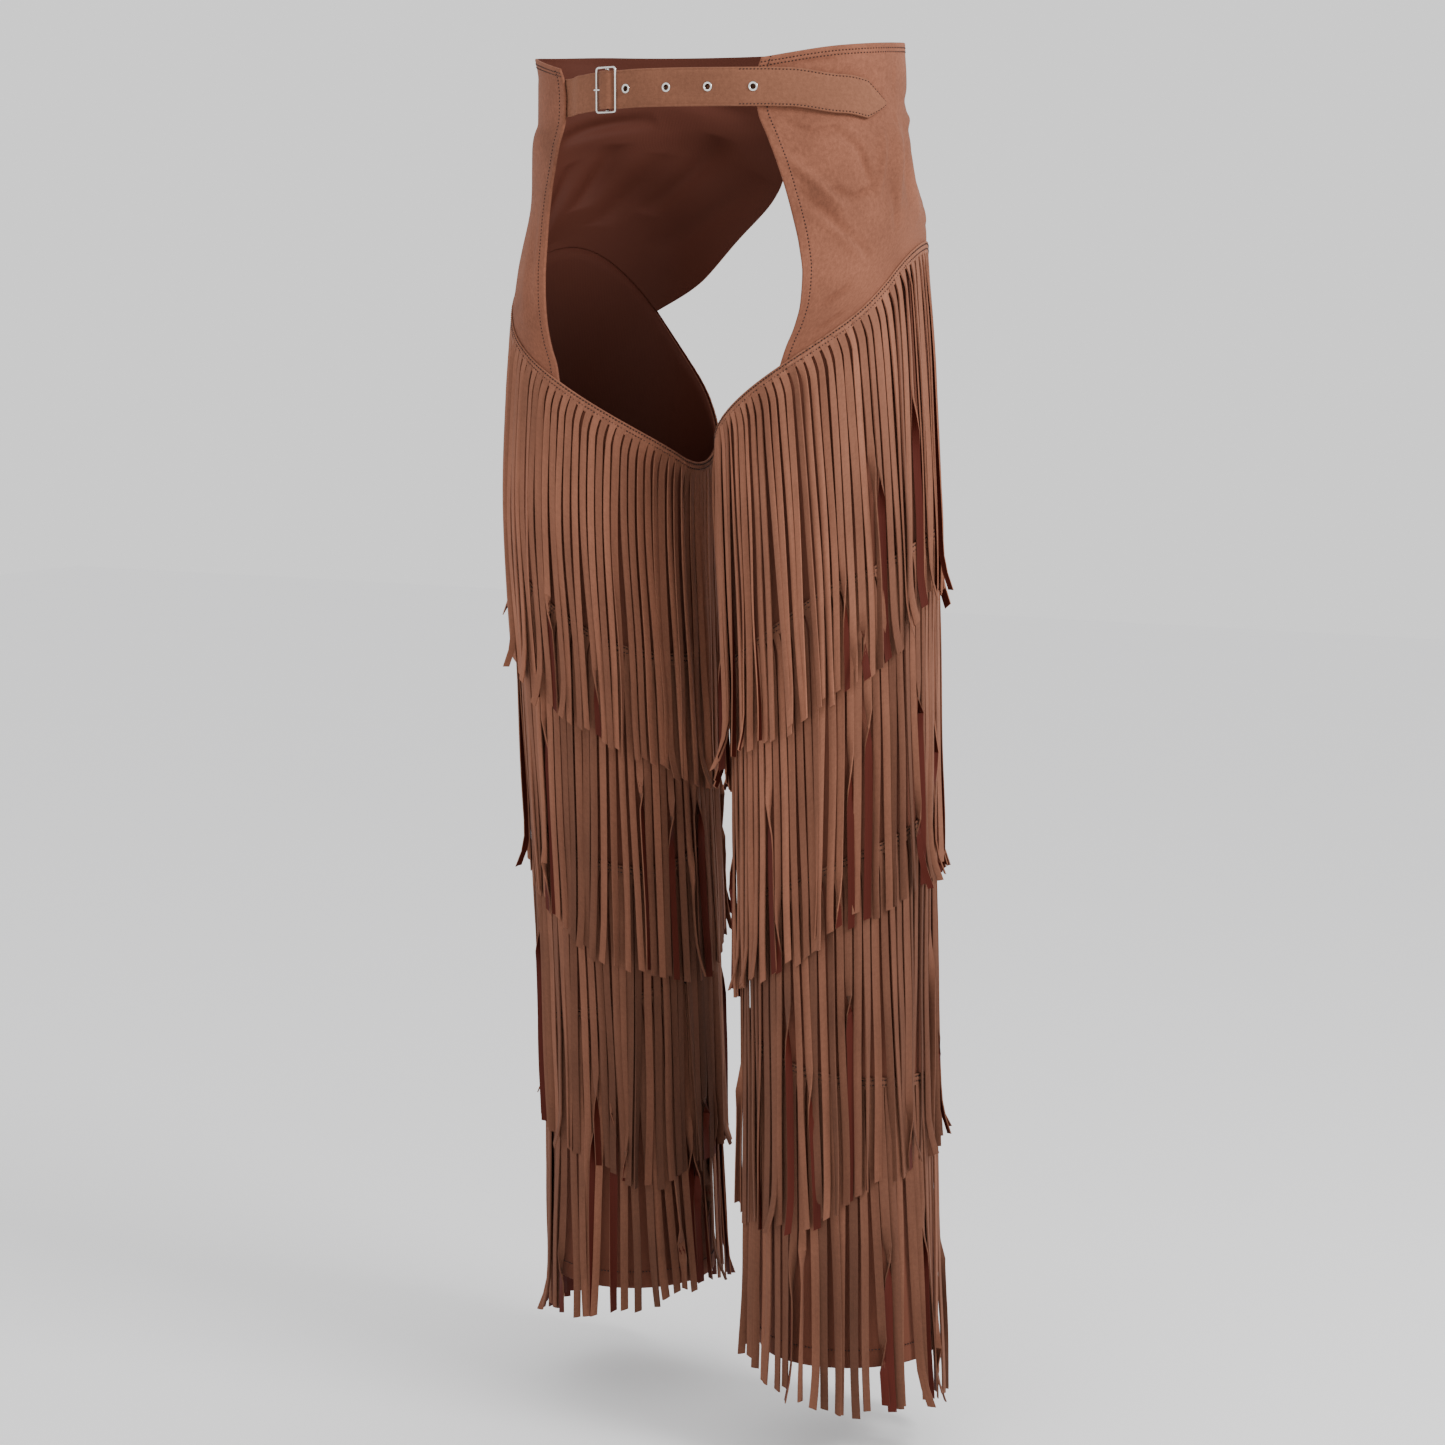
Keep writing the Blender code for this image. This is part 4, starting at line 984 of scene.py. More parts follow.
def make_fringe_cloth(name, side, tier):
    """The strands of one length, and the drop of each root and its angle, which the band needs."""
    chance = np.random.default_rng(1000 + 10 * tier + side)
    count = STRANDS[tier]
    pitch = 360.0 / count
    middle = -180.0 + pitch * (np.arange(count) + 0.5)
    t = STEPS[None, :]
    drop = BAND_HEIGHT + chance.uniform(-ROOT_VARIES, ROOT_VARIES, count)
    length = STRAND_LENGTH + chance.normal(0, LENGTH_VARIES, count)
    length = length + SHARED_LENGTH * smooth_noise(chance, count, 12)
    turn = middle[:, None] + 0 * t
    root = band_top(side, tier, turn) - drop[:, None]
    run = length[:, None] + ROOT_IN_BAND - drop[:, None] + BAND_HEIGHT
    height = root + ROOT_IN_BAND - run * t
    outwards, way, per_degree = leg_frame(side, turn, height)
    slope = (line_height(side, tier, turn + 2) - line_height(side, tier, turn - 2)) / (4 * per_degree)
    lean = np.clip(slope[:, :1] / 0.6, -1, 1)
    width = strand_widths(chance, side, tier, middle, pitch, per_degree, lean, t)
    twist = strand_twist(chance, side, tier, middle, lean, t)
    sway, phase = strand_sway(chance, tier, lean, t)
    out = strand_out(chance, tier, middle, phase, twist, width, t)
    centre = leg_at(side, turn, height, 0.0) + outwards * out[..., None] + way * sway[..., None]
    cup = (CUP_VARIES * chance.normal(size=count) + CUP)[:, None] * np.clip(t * 5, 0, 1)

    cos, sin = np.cos(twist)[..., None], np.sin(twist)[..., None]
    across = way * cos + outwards * sin
    face_way = outwards * cos - way * sin
    tilt = np.array([0.0, 0.0, 1.0]) * (slope * np.cos(twist))[..., None]
    points = np.stack([
        centre + (across + tilt) * (u * width)[..., None]
        + face_way * (v * STRAND_THICKNESS / 2 + crown * cup)[..., None]
        for u, v, crown in SECTION
    ], axis=2)
    faces, slots = strand_faces(count)
    corner_points = points.reshape(-1, 3)
    a, b, c = corner_points[list(faces[0][:3])]
    if np.cross(b - a, c - a) @ outwards[0, 0] < 0:
        faces = [face[::-1] for face in faces]
    uv = np.zeros(points.shape[:3] + (2,))
    shift = np.arange(count)[:, None, None]
    uv[..., 0] = np.array([row[0] for row in SECTION]) * width[..., None] + shift * GRAIN_SHIFT[0]
    uv[..., 1] = STEPS[None, :, None] * STRAND_LENGTH + shift * GRAIN_SHIFT[1]
    title = f"fringe_cloth_{tier + 1}_{name}"
    thing = make_mesh(title, corner_points, faces, [fringe_suede, reverse], uv.reshape(-1, 2), slots)
    # painted light and shade: a random tone for each strand, moved by its length's painted light and shade
    shade = np.clip(chance.normal(size=count), -1.8, 1.8) + TIER_PAINTED_SHADE[tier]
    # painted shade: crowded strands are drawn darker, more towards their tips
    shade = shade[:, None] - CROWDED_PAINTED_SHADE * crowding(side, tier, middle)[:, None] * (0.3 + 0.7 * t)
    set_tone_and_shade(thing, np.broadcast_to(shade[:, :, None], points.shape[:3]).reshape(-1))
    thing.data.set_sharp_from_angle(angle=SHARP)
    return thing, drop, middle


fringes = {
    (name, tier): make_fringe_cloth(name, side, tier)
    for name, side in SIDES for tier in range(4)
}
print("faces in the longest row:", len(fringes["left", 0][0].data.polygons))

# %% [markdown]
# The band is the whole strip above the slits. Two rows of stitches hold it to the leg, and each pulls a groove.
# Its lower edge ends at a slightly different height at each slit, where the knife stopped.

# %% Bands
BAND_ROWS = (0.0019, 0.0055)
BAND_GROOVES = ((0.0019, 0.0006, 0.0006), (0.0055, 0.0004, 0.0007))
BAND_STEPS = np.array([0.0, 0.05, 0.12, 0.18, 0.23, 0.28, 0.34, 0.45, 0.58, 0.66, 0.74, 0.86, 1.0])[:, None]


def make_band(name, side, tier, drop, middle):
    pitch = 360.0 / len(drop)
    places = [middle - pitch / 2 + 0.02, middle - pitch / 6, middle + pitch / 6, middle + pitch / 2 - 0.02]
    degrees = np.stack(places, -1).reshape(1, -1)
    away = np.repeat(drop, 4)[None, :] * BAND_STEPS
    chance = np.random.default_rng(40 + tier + side)
    height = band_top(side, tier, degrees) - away
    relief = sum(groove(away, *numbers) for numbers in BAND_GROOVES) - 0.0005 * (BAND_STEPS == 0)
    relief = relief + 0.0001 * chance.normal(size=relief.shape) * (BAND_STEPS > 0)
    face = leg_at(side, degrees, height, BAND_OUT + BAND_THICKNESS + relief)
    back = leg_at(side, degrees, height, BAND_OUT + 0 * relief)
    title = f"fringe_band_{tier + 1}_{name}"
    band = cloth_shell(title, face, back, [fringe_suede, reverse], length_uv(face), True)
    # painted light and shade: the band is drawn as light or dark as its length
    set_tone_and_shade(band, np.full(len(band.data.vertices), TIER_PAINTED_SHADE[tier]))
    return band


bands = {}
for name, side in SIDES:
    for tier in range(4):
        fringes[name, tier], drop, middle = fringes[name, tier]
        bands[name, tier] = make_band(name, side, tier, drop, middle)
print("bands:", len(bands))

# %% [markdown]
# Lockstitch shows as a row of short raised dashes that dive into the cloth at both ends. Each dash is a small
# bar of four sides, bent in the middle. A whole row is one mesh. Real thread is about 0.3 mm thick and would be
# thinner than a pixel here, so it is drawn at 0.9 mm to show.

# %% Stitching
STITCH_LENGTH = 0.0015
STITCH_GAP = 0.0011
THREAD_RADIUS = 0.00045
# Along a dash: share of its length, height over the path, share of the thread's radius
DASH = ((0.0, -0.0002, 0.6), (0.3, 0.0002, 1.0), (0.7, 0.0002, 1.0), (1.0, -0.0002, 0.6))


def make_stitches(name, rows):
    """rows: a list of (path points, ways out) along which the dashes run."""
    points, faces = [], []
    for path, outwards in rows:
        lengths = lengths_along(path)
        starts = np.arange(0.001, lengths[-1] - STITCH_LENGTH, STITCH_LENGTH + STITCH_GAP)
        count, base = len(starts), sum(len(p) for p in points)

        def at(distance, values):
            return np.stack([np.interp(distance, lengths, values[:, k]) for k in range(3)], axis=-1)

        way = at(starts + STITCH_LENGTH, path) - at(starts, path)
        way /= np.linalg.norm(way, axis=1, keepdims=True)
        for share, lift, thin in DASH:
            spot = at(starts + STITCH_LENGTH * share, path)
            up = at(starts + STITCH_LENGTH * share, outwards)
            up /= np.linalg.norm(up, axis=1, keepdims=True)
            side_way = np.cross(way, up)
            for a, b in ((1, 0), (0, 1), (-1, 0), (0, -1)):
                points.append(spot + up * lift + THREAD_RADIUS * thin * (a * side_way + b * up))
        quads = [(3, 2, 1, 0), (12, 13, 14, 15)]
        for corner in range(12):
            following = corner - corner % 4 + (corner + 1) % 4
            quads.append((corner, following, following + 4, corner + 4))
        for quad in quads:
            faces.append(np.stack([base + c * count + np.arange(count) for c in quad], axis=-1))
    points = np.concatenate(points)
    return make_mesh(name, points, np.concatenate(faces), [thread], points[:, [0, 2]])


def normals_on(grid):
    """Unit normals of a panel's grid, facing out."""
    normal = np.cross(np.gradient(grid, axis=1), np.gradient(grid, axis=0))
    normal = normal / (np.linalg.norm(normal, axis=-1, keepdims=True) + 1e-12)
    return normal if np.sum(normal * (grid - grid.reshape(-1, 3).mean(axis=0))) >= 0 else -normal


def level_path(grid, distance, target, axis):
    """The points of a grid where a distance from an edge has this value, going along the edge."""
    found = []
    for line, away in zip(np.moveaxis(grid, axis, 1), np.moveaxis(distance, axis, 1)):
        order = np.argsort(away)
        found.append([np.interp(target, away[order], line[order, k]) for k in range(3)])
    return np.array(found)


stitches = {}
for name, side in SIDES:
    face, from_top, from_front, from_back = panel_grids[name]
    normal = normals_on(face)
    edge_rows = [(from_top, row, 0) for row in PANEL_TOP_ROWS]
    edge_rows += [(from_front, PANEL_EDGE_ROW, 1), (from_back, PANEL_EDGE_ROW, 1)]
    rows = [
        (level_path(face, away, target, axis), level_path(normal, away, target, axis))
        for away, target, axis in edge_rows
    ]
    stitches["hip", name] = make_stitches("hip_thread_" + name, rows)
    degrees = np.linspace(-180, 180, 241)
    rows = []
    for tier in range(4):
        for away in BAND_ROWS:
            height = band_top(side, tier, degrees) - away
            path = leg_at(side, degrees, height, BAND_OUT + BAND_THICKNESS - 0.0002)
            rows.append((path, leg_frame(side, degrees, height)[0]))
    height = hem_height(side) + HEM_ROW + 0 * degrees
    rows.append((leg_at(side, degrees, height, WALL + 0.0002), leg_frame(side, degrees, height)[0]))
    stitches["leg", name] = make_stitches("leg_thread_" + name, rows)
print("stitch faces:", sum(len(s.data.polygons) for s in stitches.values()))

# %% [markdown]
# The straps are two layers of the same cloth, turned in and stitched. The long one comes out from under one
# panel, climbs over the buckle's centre bar and lies flat to its point. Its middle line is a short table: angle
# round the waist, distance out and height. The way through the buckle is written from the buckle's own middle,
# because there everything depends on the bars and not on the waist.

# %% Strap paths
BUCKLE_ANGLE = -14.3
BUCKLE_HEIGHT = 0.0034
WAIST_STEP = 1.0
# angle round the waist, distance out, height
STRAP_UNDER_PANEL = (
    (-60.0, -0.0020, 0.0), (-34.0, -0.0020, 0.0005), (-26.5, 0.0019, 0.0018), (-20.5, 0.0027, 0.0026),
)
STRAP_TAIL = (
    (-5.0, 0.0032, 0.0038), (34.5, 0.0032, 0.0028), (41.0, 0.0042, 0.0024),
    (60.0, 0.0042, -0.0020), (80.0, 0.0042, -0.0075),
)
# distance along the strap from the buckle's middle, distance out
STRAP_THROUGH_BUCKLE = (
    (-0.0090, 0.0029), (-0.0065, 0.0042), (-0.0050, 0.0059), (-0.0030, 0.0077), (0.0, 0.0080),
    (0.0030, 0.0076), (0.0050, 0.0060), (0.0065, 0.0044), (0.0090, 0.0032),
)
buckle_middle = torso_at(1, BUCKLE_ANGLE, 0.0, 0.0)
buckle_way = torso_at(1, BUCKLE_ANGLE + 0.5, 0.0, 0.0) - torso_at(1, BUCKLE_ANGLE - 0.5, 0.0, 0.0)
buckle_way = buckle_way / np.linalg.norm(buckle_way)
buckle_out = np.array([buckle_way[1], -buckle_way[0], 0.0])


def at_buckle(distance, out, height):
    return buckle_middle + buckle_way * distance + buckle_out * out + np.array([0.0, 0.0, height])


def through_buckle(rows):
    """Rows of (distance, out) as points at the buckle's height."""
    return [(*at_buckle(distance, out, 0.0)[:2], BUCKLE_HEIGHT) for distance, out in rows]


def along(rows, steps):
    """Points on a smooth curve through the rows."""
    rows = np.array(rows, float)
    ends = np.vstack([2 * rows[0] - rows[1], rows, 2 * rows[-1] - rows[-2]])
    found = []
    for index in range(1, len(ends) - 2):
        before, first, second, after = ends[index - 1 : index + 3]
        for step in range(steps):
            t = step / steps
            found.append(0.5 * (
                2 * first + (second - before) * t
                + (2 * before - 5 * first + 4 * second - after) * t**2
                + (3 * first - before - 3 * second + after) * t**3
            ))
    return found + [rows[-1]]


def on_waist(rows):
    """Rows of (angle, distance out, height) as close points (x, y, height) round the waist."""
    found = []
    for first, second in zip(rows, rows[1:] + rows[-1:]):
        steps = max(1, math.ceil(abs(second[0] - first[0]) / WAIST_STEP))
        for step in range(steps):
            share = step / steps
            eased = share * share * (3 - 2 * share)
            turn = first[0] + (second[0] - first[0]) * share
            out = first[1] + (second[1] - first[1]) * eased
            height = first[2] + (second[2] - first[2]) * eased
            found.append((*torso_at(1, turn, 0.0, out)[:2], height))
    return found


through = [tuple(row) for row in along(through_buckle(STRAP_THROUGH_BUCKLE), 6)]
strap_path = np.array(on_waist(STRAP_UNDER_PANEL) + through + on_waist(STRAP_TAIL))
strap_lengths = lengths_along(strap_path[:, :2])
print("long strap in metres:", round(float(strap_lengths[-1]), 3))

# %% [markdown]
# A strap's section is thin at its folded edges, has a groove where the stitches pull it in, and is full in
# between. One function sweeps that section along a path, so both straps come from it.

# %% Ribbon
# Across a strap: share of its half height, and share of its thickness there
HALF_PROFILE = (
    (0.0, 1.0), (0.4, 1.0), (0.66, 0.98), (0.80, 0.94), (0.85, 0.80), (0.89, 0.62),
    (0.93, 0.82), (0.965, 0.86), (0.985, 0.66), (1.0, 0.30),
)
STRAP_PROFILE = tuple((-level, thick) for level, thick in HALF_PROFILE[:0:-1]) + HALF_PROFILE
# The two rows of the profile where the stitches lie in their groove
STITCHED = [row for row, (_, thick) in enumerate(STRAP_PROFILE) if thick == 0.62]


def ribbon(name, path, thickness, half_heights):
    """A strap along a path of (x, y, height), with its face grid and its ways out."""
    path = np.array(path)
    before = np.vstack([path[:1], path[:-1]])[:, :2]
    after = np.vstack([path[1:], path[-1:]])[:, :2]
    way = after - before
    way = way / np.linalg.norm(way, axis=1, keepdims=True)
    outwards = np.stack([way[:, 1], -way[:, 0], 0 * way[:, 0]], axis=-1)
    half_width, half_depth = smooth_rows(TORSO, np.array([0.0]))[0]
    turn = np.degrees(np.arctan2(path[:, 0] / half_width, -path[:, 1] / half_depth))
    faces_out, faces_in = [], []
    for level, thick in STRAP_PROFILE:
        z = path[:, 2] + level * half_heights
        slope = torso_at(1, turn, z, 0.0) - torso_at(1, turn, 0.0, 0.0)
        middle = np.stack([path[:, 0], path[:, 1], 0 * z], axis=-1) + slope
        faces_out.append(middle + outwards * thick * thickness / 2)
        faces_in.append(middle - outwards * thick * thickness / 2)
    lengths = lengths_along(path[:, :2])
    levels = np.array([row[0] for row in STRAP_PROFILE])[:, None]
    uv = np.stack(np.broadcast_arrays(levels * half_heights[None, :], lengths[None, :]), axis=-1)
    face = np.array(faces_out)
    return cloth_shell(name, face, np.array(faces_in), [strap_suede, strap_suede], uv, False), face, outwards


print("points across a strap:", len(STRAP_PROFILE))

# %% [markdown]
# The long strap's last 18 mm narrow to a point, by a table of shares. The short strap holds the buckle: it
# comes out from under the other panel, goes once round the centre bar and back under itself.

# %% Straps
STRAP_HALF_HEIGHT = 0.0138
STRAP_THICKNESS = 0.0024
STRAP_POINT_LENGTH = 0.018
# Share of the way to the tip, share of the half height
STRAP_POINT = (
    (0.0, 1.0), (0.04, 0.985), (0.10, 0.94), (0.25, 0.80), (0.40, 0.66), (0.55, 0.52),
    (0.70, 0.37), (0.82, 0.25), (0.91, 0.16), (0.97, 0.09), (1.0, 0.03),
)
BUCKLE_STRAP_HALF_HEIGHT = 0.0119
BUCKLE_STRAP_THICKNESS = 0.0012
BUCKLE_STRAP_UNDER_PANEL = ((56.0, -0.0014), (34.2, -0.0014), (26.0, 0.0009), (0.0, 0.0009))
BUCKLE_STRAP_TO_BAR = [(0.0055, 0.0009), (0.0032, 0.0011)]
BUCKLE_STRAP_FROM_BAR = [(0.0032, 0.0031), (0.0052, 0.0028)]
CENTRE_BAR_OUT = 0.0036
CENTRE_BAR_RADIUS = 0.0010
BAR_CLEARANCE = 0.0003


def round_bar(radius, angles):
    """Rows of (distance, out) on a circle round the buckle's centre bar."""
    turns = [math.radians(angle) for angle in angles]
    return [(radius * math.cos(turn), CENTRE_BAR_OUT + radius * math.sin(turn)) for turn in turns]


strap_end = strap_lengths[-1]
strap_rows = [tuple(row) for row in strap_path[strap_lengths < strap_end - STRAP_POINT_LENGTH - 0.002]]
strap_halves = [STRAP_HALF_HEIGHT] * len(strap_rows)
for share, width in STRAP_POINT:
    distance = strap_end - STRAP_POINT_LENGTH * (1 - share)
    strap_rows.append(tuple(np.interp(distance, strap_lengths, strap_path[:, column]) for column in range(3)))
    strap_halves.append(STRAP_HALF_HEIGHT * width)
long_strap, strap_face, strap_out = ribbon("long_strap", strap_rows, STRAP_THICKNESS, np.array(strap_halves))

loop = round_bar(CENTRE_BAR_RADIUS + BAR_CLEARANCE + BUCKLE_STRAP_THICKNESS / 2, range(-75, -331, -15))
short_path = on_waist(tuple((turn, out, BUCKLE_HEIGHT) for turn, out in BUCKLE_STRAP_UNDER_PANEL))
short_path += through_buckle(BUCKLE_STRAP_TO_BAR + loop + BUCKLE_STRAP_FROM_BAR)
short_halves = np.full(len(short_path), BUCKLE_STRAP_HALF_HEIGHT)
buckle_strap, _, _ = ribbon("short_strap", short_path, BUCKLE_STRAP_THICKNESS, short_halves)
print("points along the straps:", len(strap_rows), len(short_path))

# %% [markdown]
# The strap's four holes are cut by small cylinders, and the result is kept as plain mesh. A boolean is the
# plain way to make a clean round hole in a curved strap. An eyelet fits into each hole, and both come from the
# same function, which turns an outline round an axis like a lathe.

# %% Turned shapes and strap holes
EYELET_ANGLES = (-7.7, 5.5, 18.0, 31.4)
HOLE_RADIUS = 0.0026
# radius, distance out
HOLE_OUTLINE = ((0.00001, -0.001), (HOLE_RADIUS, -0.001), (HOLE_RADIUS, 0.008), (0.00001, 0.008))
UP = np.array([0.0, 0.0, 1.0])


def strap_spot(turn):
    """The waist's oval behind the strap at this angle, and the way out of it."""
    height = float(np.interp(turn, [row[0] for row in STRAP_TAIL], [row[2] for row in STRAP_TAIL]))
    step = torso_at(1, turn + 0.5, height, 0.0) - torso_at(1, turn - 0.5, height, 0.0)
    step = step / np.linalg.norm(step)
    return torso_at(1, turn, height, 0.0), np.array([step[1], -step[0], 0.0])


def loops_to_faces(loops, points_in_loop, closed):
    """Faces between loops of points, each loop joined to the one after it."""
    faces = []
    for index in range(loops if closed else loops - 1):
        here, there = index * points_in_loop, (index + 1) % loops * points_in_loop
        for k in range(points_in_loop):
            n = (k + 1) % points_in_loop
            faces.append((here + k, here + n, there + n, there + k))
    return faces


def outward_mesh(name, points, faces, material):
    """A closed mesh whose faces all look out."""
    thing = make_mesh(name, points, faces, [material])
    shape = bmesh.new()
    shape.from_mesh(thing.data)
    bmesh.ops.recalc_face_normals(shape, faces=shape.faces)
    shape.to_mesh(thing.data)
    shape.free()
    return thing


def turned(name, turn, outline, segments):
    """A ring on the strap, turned from its outline of (radius, distance out)."""
    origin, outwards = strap_spot(turn)
    angles = 2 * np.pi * np.arange(segments) / segments
    spoke = np.cos(angles)[:, None] * np.cross(outwards, UP) + np.sin(angles)[:, None] * UP
    points = [origin + outwards * out + spoke * radius for radius, out in outline]
    return outward_mesh(name, np.concatenate(points), loops_to_faces(len(outline), segments, True), nickel)


cutters = []
for index, turn in enumerate(EYELET_ANGLES):
    cutters.append(turned(f"hole_cutter_{index}", turn, HOLE_OUTLINE, 32))
    change = long_strap.modifiers.new("hole", "BOOLEAN")
    change.operation = "DIFFERENCE"
    change.solver = "EXACT"
    change.object = cutters[-1]
graph = bpy.context.evaluated_depsgraph_get()
cut_mesh = bpy.data.meshes.new_from_object(long_strap.evaluated_get(graph))
long_strap.modifiers.clear()
long_strap.data = cut_mesh
for cutter in cutters:
    bpy.data.objects.remove(cutter)
long_strap.data.set_sharp_from_angle(angle=math.radians(55))
print("strap faces after cutting:", len(long_strap.data.polygons))

# %% [markdown]
# The long strap is stitched only round its pointed end, as in the photo: two rows that close in on the tip.

# %% Strap stitching
STITCHES_FROM = 26.0
half_width, half_depth = smooth_rows(TORSO, np.array([0.0]))[0]
strap_turns = [math.degrees(math.atan2(row[0] / half_width, -row[1] / half_depth)) for row in strap_rows]
tail = np.array(strap_turns) > STITCHES_FROM
edge_rows = [(strap_face[row][tail], strap_out[tail]) for row in STITCHED]
stitches["strap"] = make_stitches("strap_thread", edge_rows)
print("stitched end in metres:", round(float(lengths_along(strap_face[0][tail])[-1]), 3))

# %% [markdown]
# An eyelet is a short barrel pressed flat on the face of the strap, so its outline is a rounded lip.

# %% Eyelets
# radius, distance out
EYELET_OUTLINE = (
    (0.00188, 0.0020), (0.0024, 0.0020), (0.0024, 0.00445), (0.00326, 0.00445), (0.00342, 0.00458),
    (0.00341, 0.00478), (0.00330, 0.00498), (0.00307, 0.00514), (0.00280, 0.00522), (0.0025, 0.00521),
    (0.0022, 0.0051), (0.0020, 0.0049), (0.0019, 0.0046),
)
eyelets = [
    turned(f"eyelet_ring_{index + 1}", turn, EYELET_OUTLINE, 48) for index, turn in enumerate(EYELET_ANGLES)
]
print("eyelets:", len(eyelets))

# %% [markdown]
# The buckle is bent from thin wire: a rectangle with a bar across its middle, which the short strap wraps, and
# a prong that swings on that bar. A tube along a path makes all three. A curve object with a bevel would do the
# same, but the mesh keeps its corners exactly where the solid has them.

# %% Wire
def tube(name, path, radii, sides, closed=False):
    """A round bar along a path of points, with a radius for each of them."""
    count = len(path)
    points, up = [], None
    for index, point in enumerate(path):
        before = path[index - 1] if closed or index else point
        after = path[(index + 1) % count] if closed or index < count - 1 else point
        way = (after - before) / np.linalg.norm(after - before)
        if up is None:
            up = UP if abs(way[2]) < 0.8 else buckle_out
        across = np.cross(way, up)
        across = across / np.linalg.norm(across)
        up = np.cross(across, way)
        for corner in range(sides):
            turn = 2 * math.pi * (corner + 0.5) / sides
            points.append(point + radii[index] * (math.cos(turn) * across + math.sin(turn) * up))
    faces = loops_to_faces(count, sides, closed)
    if not closed:
        faces += [tuple(range(sides))[::-1], tuple(range((count - 1) * sides, count * sides))]
    return outward_mesh(name, points, faces, nickel)


BAR_OUT = 0.0060
BAR_RADIUS = 0.00078
FRAME_HALF_WIDTH = 0.0090
FRAME_HALF_HEIGHT = 0.0160
FRAME_CORNER = 0.0020
CORNER_STEPS = 8
frame_path = []
for start, across, up in ((0, 1, 1), (90, -1, 1), (180, -1, -1), (270, 1, -1)):
    for step in range(CORNER_STEPS + 1):
        turn = math.radians(start + 90 * step / CORNER_STEPS)
        frame_path.append(at_buckle(
            across * (FRAME_HALF_WIDTH - FRAME_CORNER) + FRAME_CORNER * math.cos(turn),
            BAR_OUT,
            up * (FRAME_HALF_HEIGHT - FRAME_CORNER) + FRAME_CORNER * math.sin(turn) + BUCKLE_HEIGHT,
        ))
buckle = tube("buckle_wire", frame_path, [BAR_RADIUS] * len(frame_path), 20, closed=True)
print("buckle height in mm:", round(2000 * (FRAME_HALF_HEIGHT + BAR_RADIUS), 1))

# %% [markdown]
# The centre bar dips behind the frame, so that the long strap can pass over it. The prong is a thin wire with
# an eye round that bar. It goes through the strap and rests on the frame with a tapered tip. The hole that it
# goes through has no eyelet and lies hidden under the prong, so it is not cut here.

# %% Bar and prong
CENTRE_BAR_HALF_HEIGHT = 0.0142
PRONG_RADIUS = 0.00065
PRONG_HEIGHT = 0.0036
PRONG_TIP = (0.98, 0.93, 0.85, 0.72, 0.5)
# distance along the strap from the buckle's middle, distance out
PRONG_ROWS = (
    (-0.0020, 0.0055), (-0.0040, 0.0055), (-0.0056, 0.0065), (-0.0074, 0.0079),
    (-0.0088, 0.0079), (-0.0096, 0.0078), (-0.0101, 0.0076),
)
# distance out, height from the bar's middle
bar_rows = [
    (BAR_OUT, FRAME_HALF_HEIGHT), (CENTRE_BAR_OUT + 0.0004, CENTRE_BAR_HALF_HEIGHT + 0.0003),
    (CENTRE_BAR_OUT, CENTRE_BAR_HALF_HEIGHT - 0.001), (CENTRE_BAR_OUT, -CENTRE_BAR_HALF_HEIGHT + 0.001),
    (CENTRE_BAR_OUT + 0.0004, -CENTRE_BAR_HALF_HEIGHT - 0.0003), (BAR_OUT, -FRAME_HALF_HEIGHT),
]
bar_path = [at_buckle(0.0, out, height + BUCKLE_HEIGHT) for out, height in bar_rows]
centre_bar = tube("buckle_bar", bar_path, [CENTRE_BAR_RADIUS] * len(bar_path), 16)

eye = round_bar(CENTRE_BAR_RADIUS + BAR_CLEARANCE + PRONG_RADIUS, range(-160, 91, 12))
prong_path = [at_buckle(distance, out, PRONG_HEIGHT) for distance, out in eye + along(PRONG_ROWS, 4)]
prong_shares = [1.0] * (len(prong_path) - len(PRONG_TIP)) + list(PRONG_TIP)
prong = tube("buckle_tongue", prong_path, [PRONG_RADIUS * share for share in prong_shares], 14)
print("metal pieces:", 3 + len(eyelets))

# %% [markdown]
# Now each piece is tied to the frame: it is hung on the body that carries it, and the solid that it stands for
# is hidden. Bands, stitches and the centre bar are extra pieces on the solid beside them, so they replace no
# solid of their own.

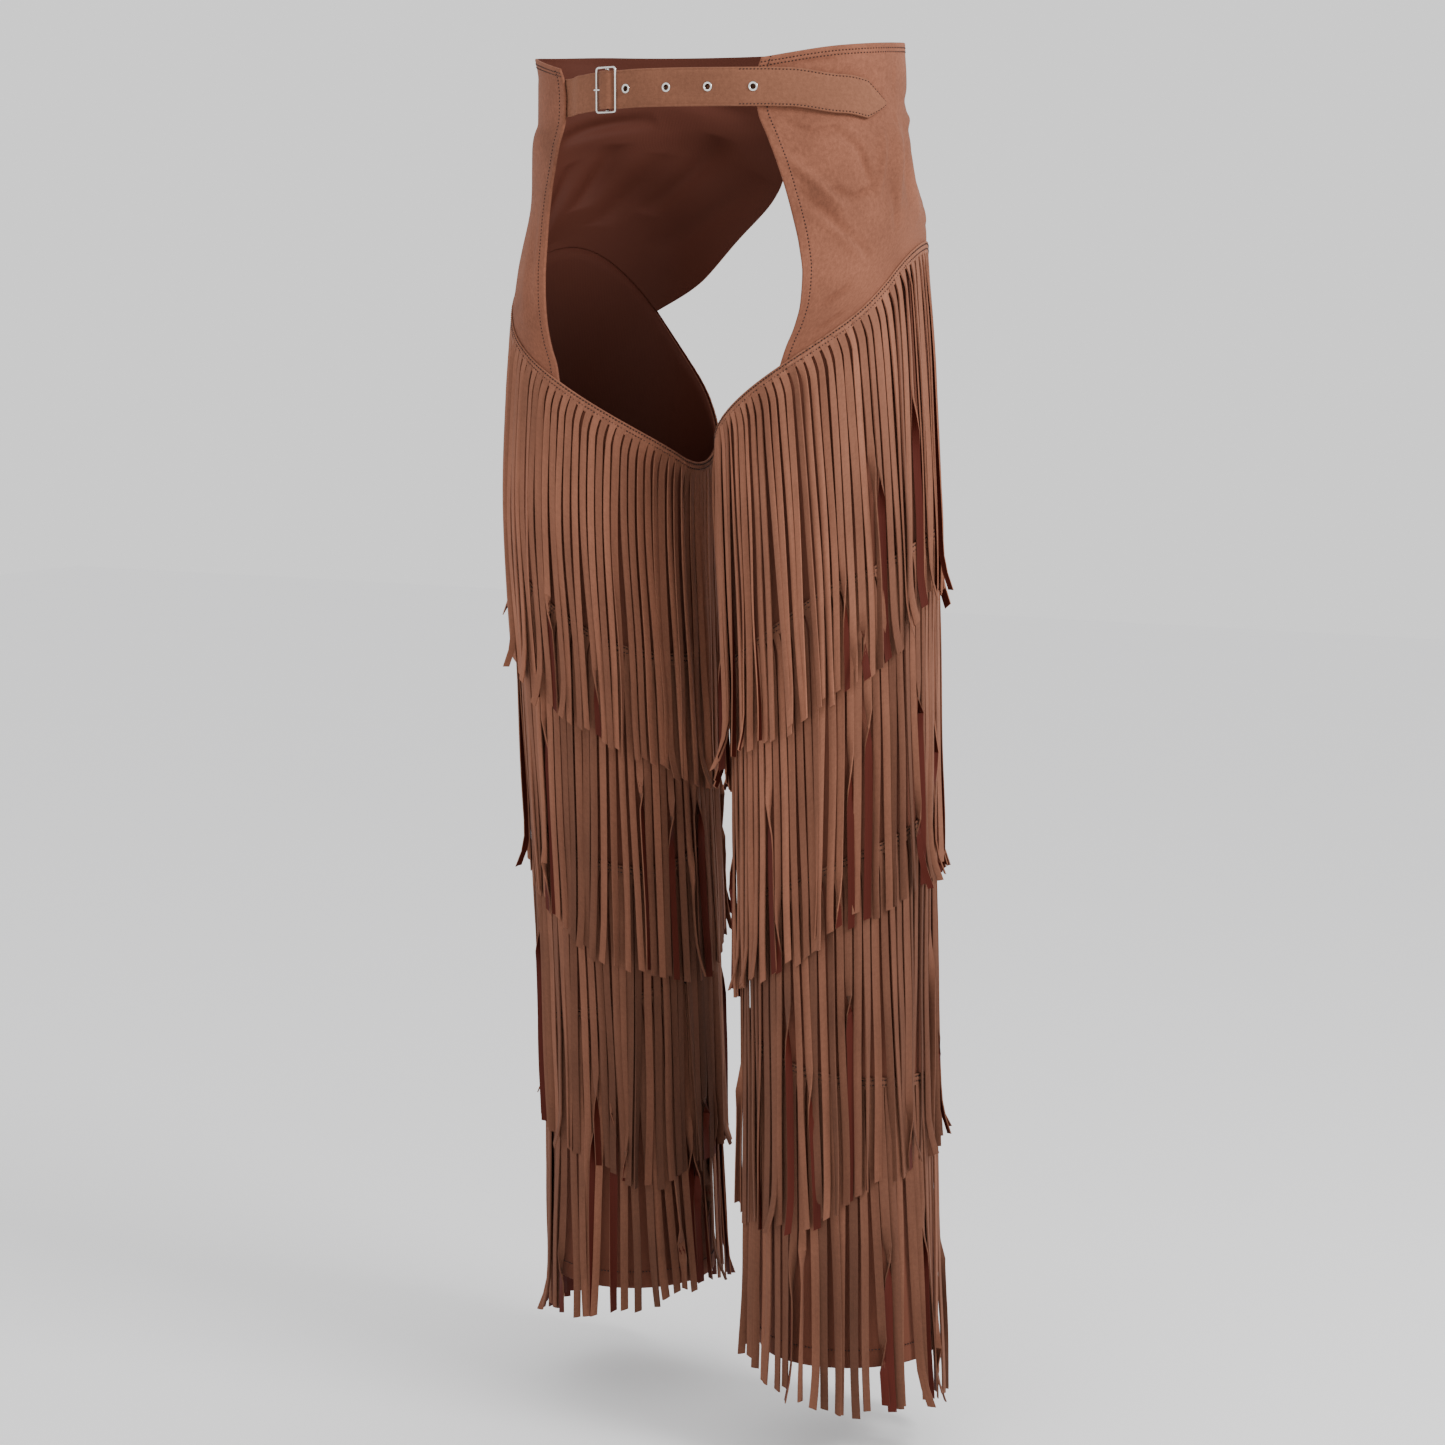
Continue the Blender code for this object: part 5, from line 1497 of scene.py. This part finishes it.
# %% Ties to the frame
# piece, the solid that it replaces, its material slot
TIES = [(panels[name], f"hip_panel_{name}", "hip_suede") for name in panels]
TIES += [(legs[name], f"leg_{name}", "leg_suede") for name in legs]
TIES += [(piece, f"fringe_{tier + 1}_{name}", "fringe_suede") for (name, tier), piece in fringes.items()]
TIES += [(piece, None, "fringe_suede") for piece in bands.values()]
TIES += [(piece, None, None) for piece in stitches.values()]
TIES += [(long_strap, "belt_strap", "strap_suede"), (buckle_strap, "buckle_strap", "strap_suede")]
TIES += [(buckle, "buckle_frame", "nickel"), (prong, "buckle_prong", "nickel")]
TIES += [(centre_bar, None, "nickel")]
TIES += [(piece, f"eyelet_{index + 1}", "nickel") for index, piece in enumerate(eyelets)]
for piece, node, slot in TIES:
    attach(piece, "root")
    if node:
        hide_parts(node)
print("pieces tied:", len(TIES))

# %% [markdown]
# The area of each cloth piece is measured on one side of it and printed.

# %% Cloth areas
for group in (panels, legs, fringes, bands, {"long": long_strap, "short": buckle_strap}):
    for piece in group.values():
        area = sum(face.area for face in piece.data.polygons) / 2
        print(piece.name, "covers", round(area, 4), "square metres")

# %% [markdown]
# The floor is a plain pale sheet under the garment, which hangs a little above it. A white world lights it from
# all round, a round lamp at the front and right shades the folds, and a wide weak one at the left opens the
# shadows. Nothing here draws the eye from the cloth.

# %% Floor and light
FLOOR_HEIGHT = cad_bounds[0][2] - 0.035
FLOOR_HALF = 6
LAMPS_AIM = Vector((0, 0, -0.25))
WORLD_STRENGTH = 1.15
floor = make_mesh(
    "floor", [(x * FLOOR_HALF, y * FLOOR_HALF, FLOOR_HEIGHT) for x, y in ((-1, -1), (1, -1), (1, 1), (-1, 1))],
    [(0, 1, 2, 3)], [floor_paint], smooth=False,
)


def soft_light(name, direction, distance, size, power):
    """A round lamp that looks at the garment from this direction."""
    lamp = bpy.data.lights.new(name, "AREA")
    lamp.shape = "DISK"
    lamp.size = size
    lamp.energy = power
    thing = bpy.data.objects.new(name, lamp)
    bpy.context.scene.collection.objects.link(thing)
    direction = direction.normalized()
    thing.location = direction * distance + LAMPS_AIM
    thing.rotation_euler = direction.to_track_quat("Z", "Y").to_euler()


soft_light("key", toward * 0.72 + aside * 0.98 + Vector((0, 0, 0.78)), 1.75, 0.6, 27)
soft_light("fill", toward * 1.0 + aside * -0.5 + Vector((0, 0, 0.3)), 2.8, 1.8, 7)
world = bpy.data.worlds.new("studio")
world.use_nodes = True
world.node_tree.nodes["Background"].inputs["Color"].default_value = (1.0, 1.0, 1.0, 1.0)
world.node_tree.nodes["Background"].inputs["Strength"].default_value = WORLD_STRENGTH
bpy.context.scene.world = world
print("lamps:", len(bpy.data.lights))
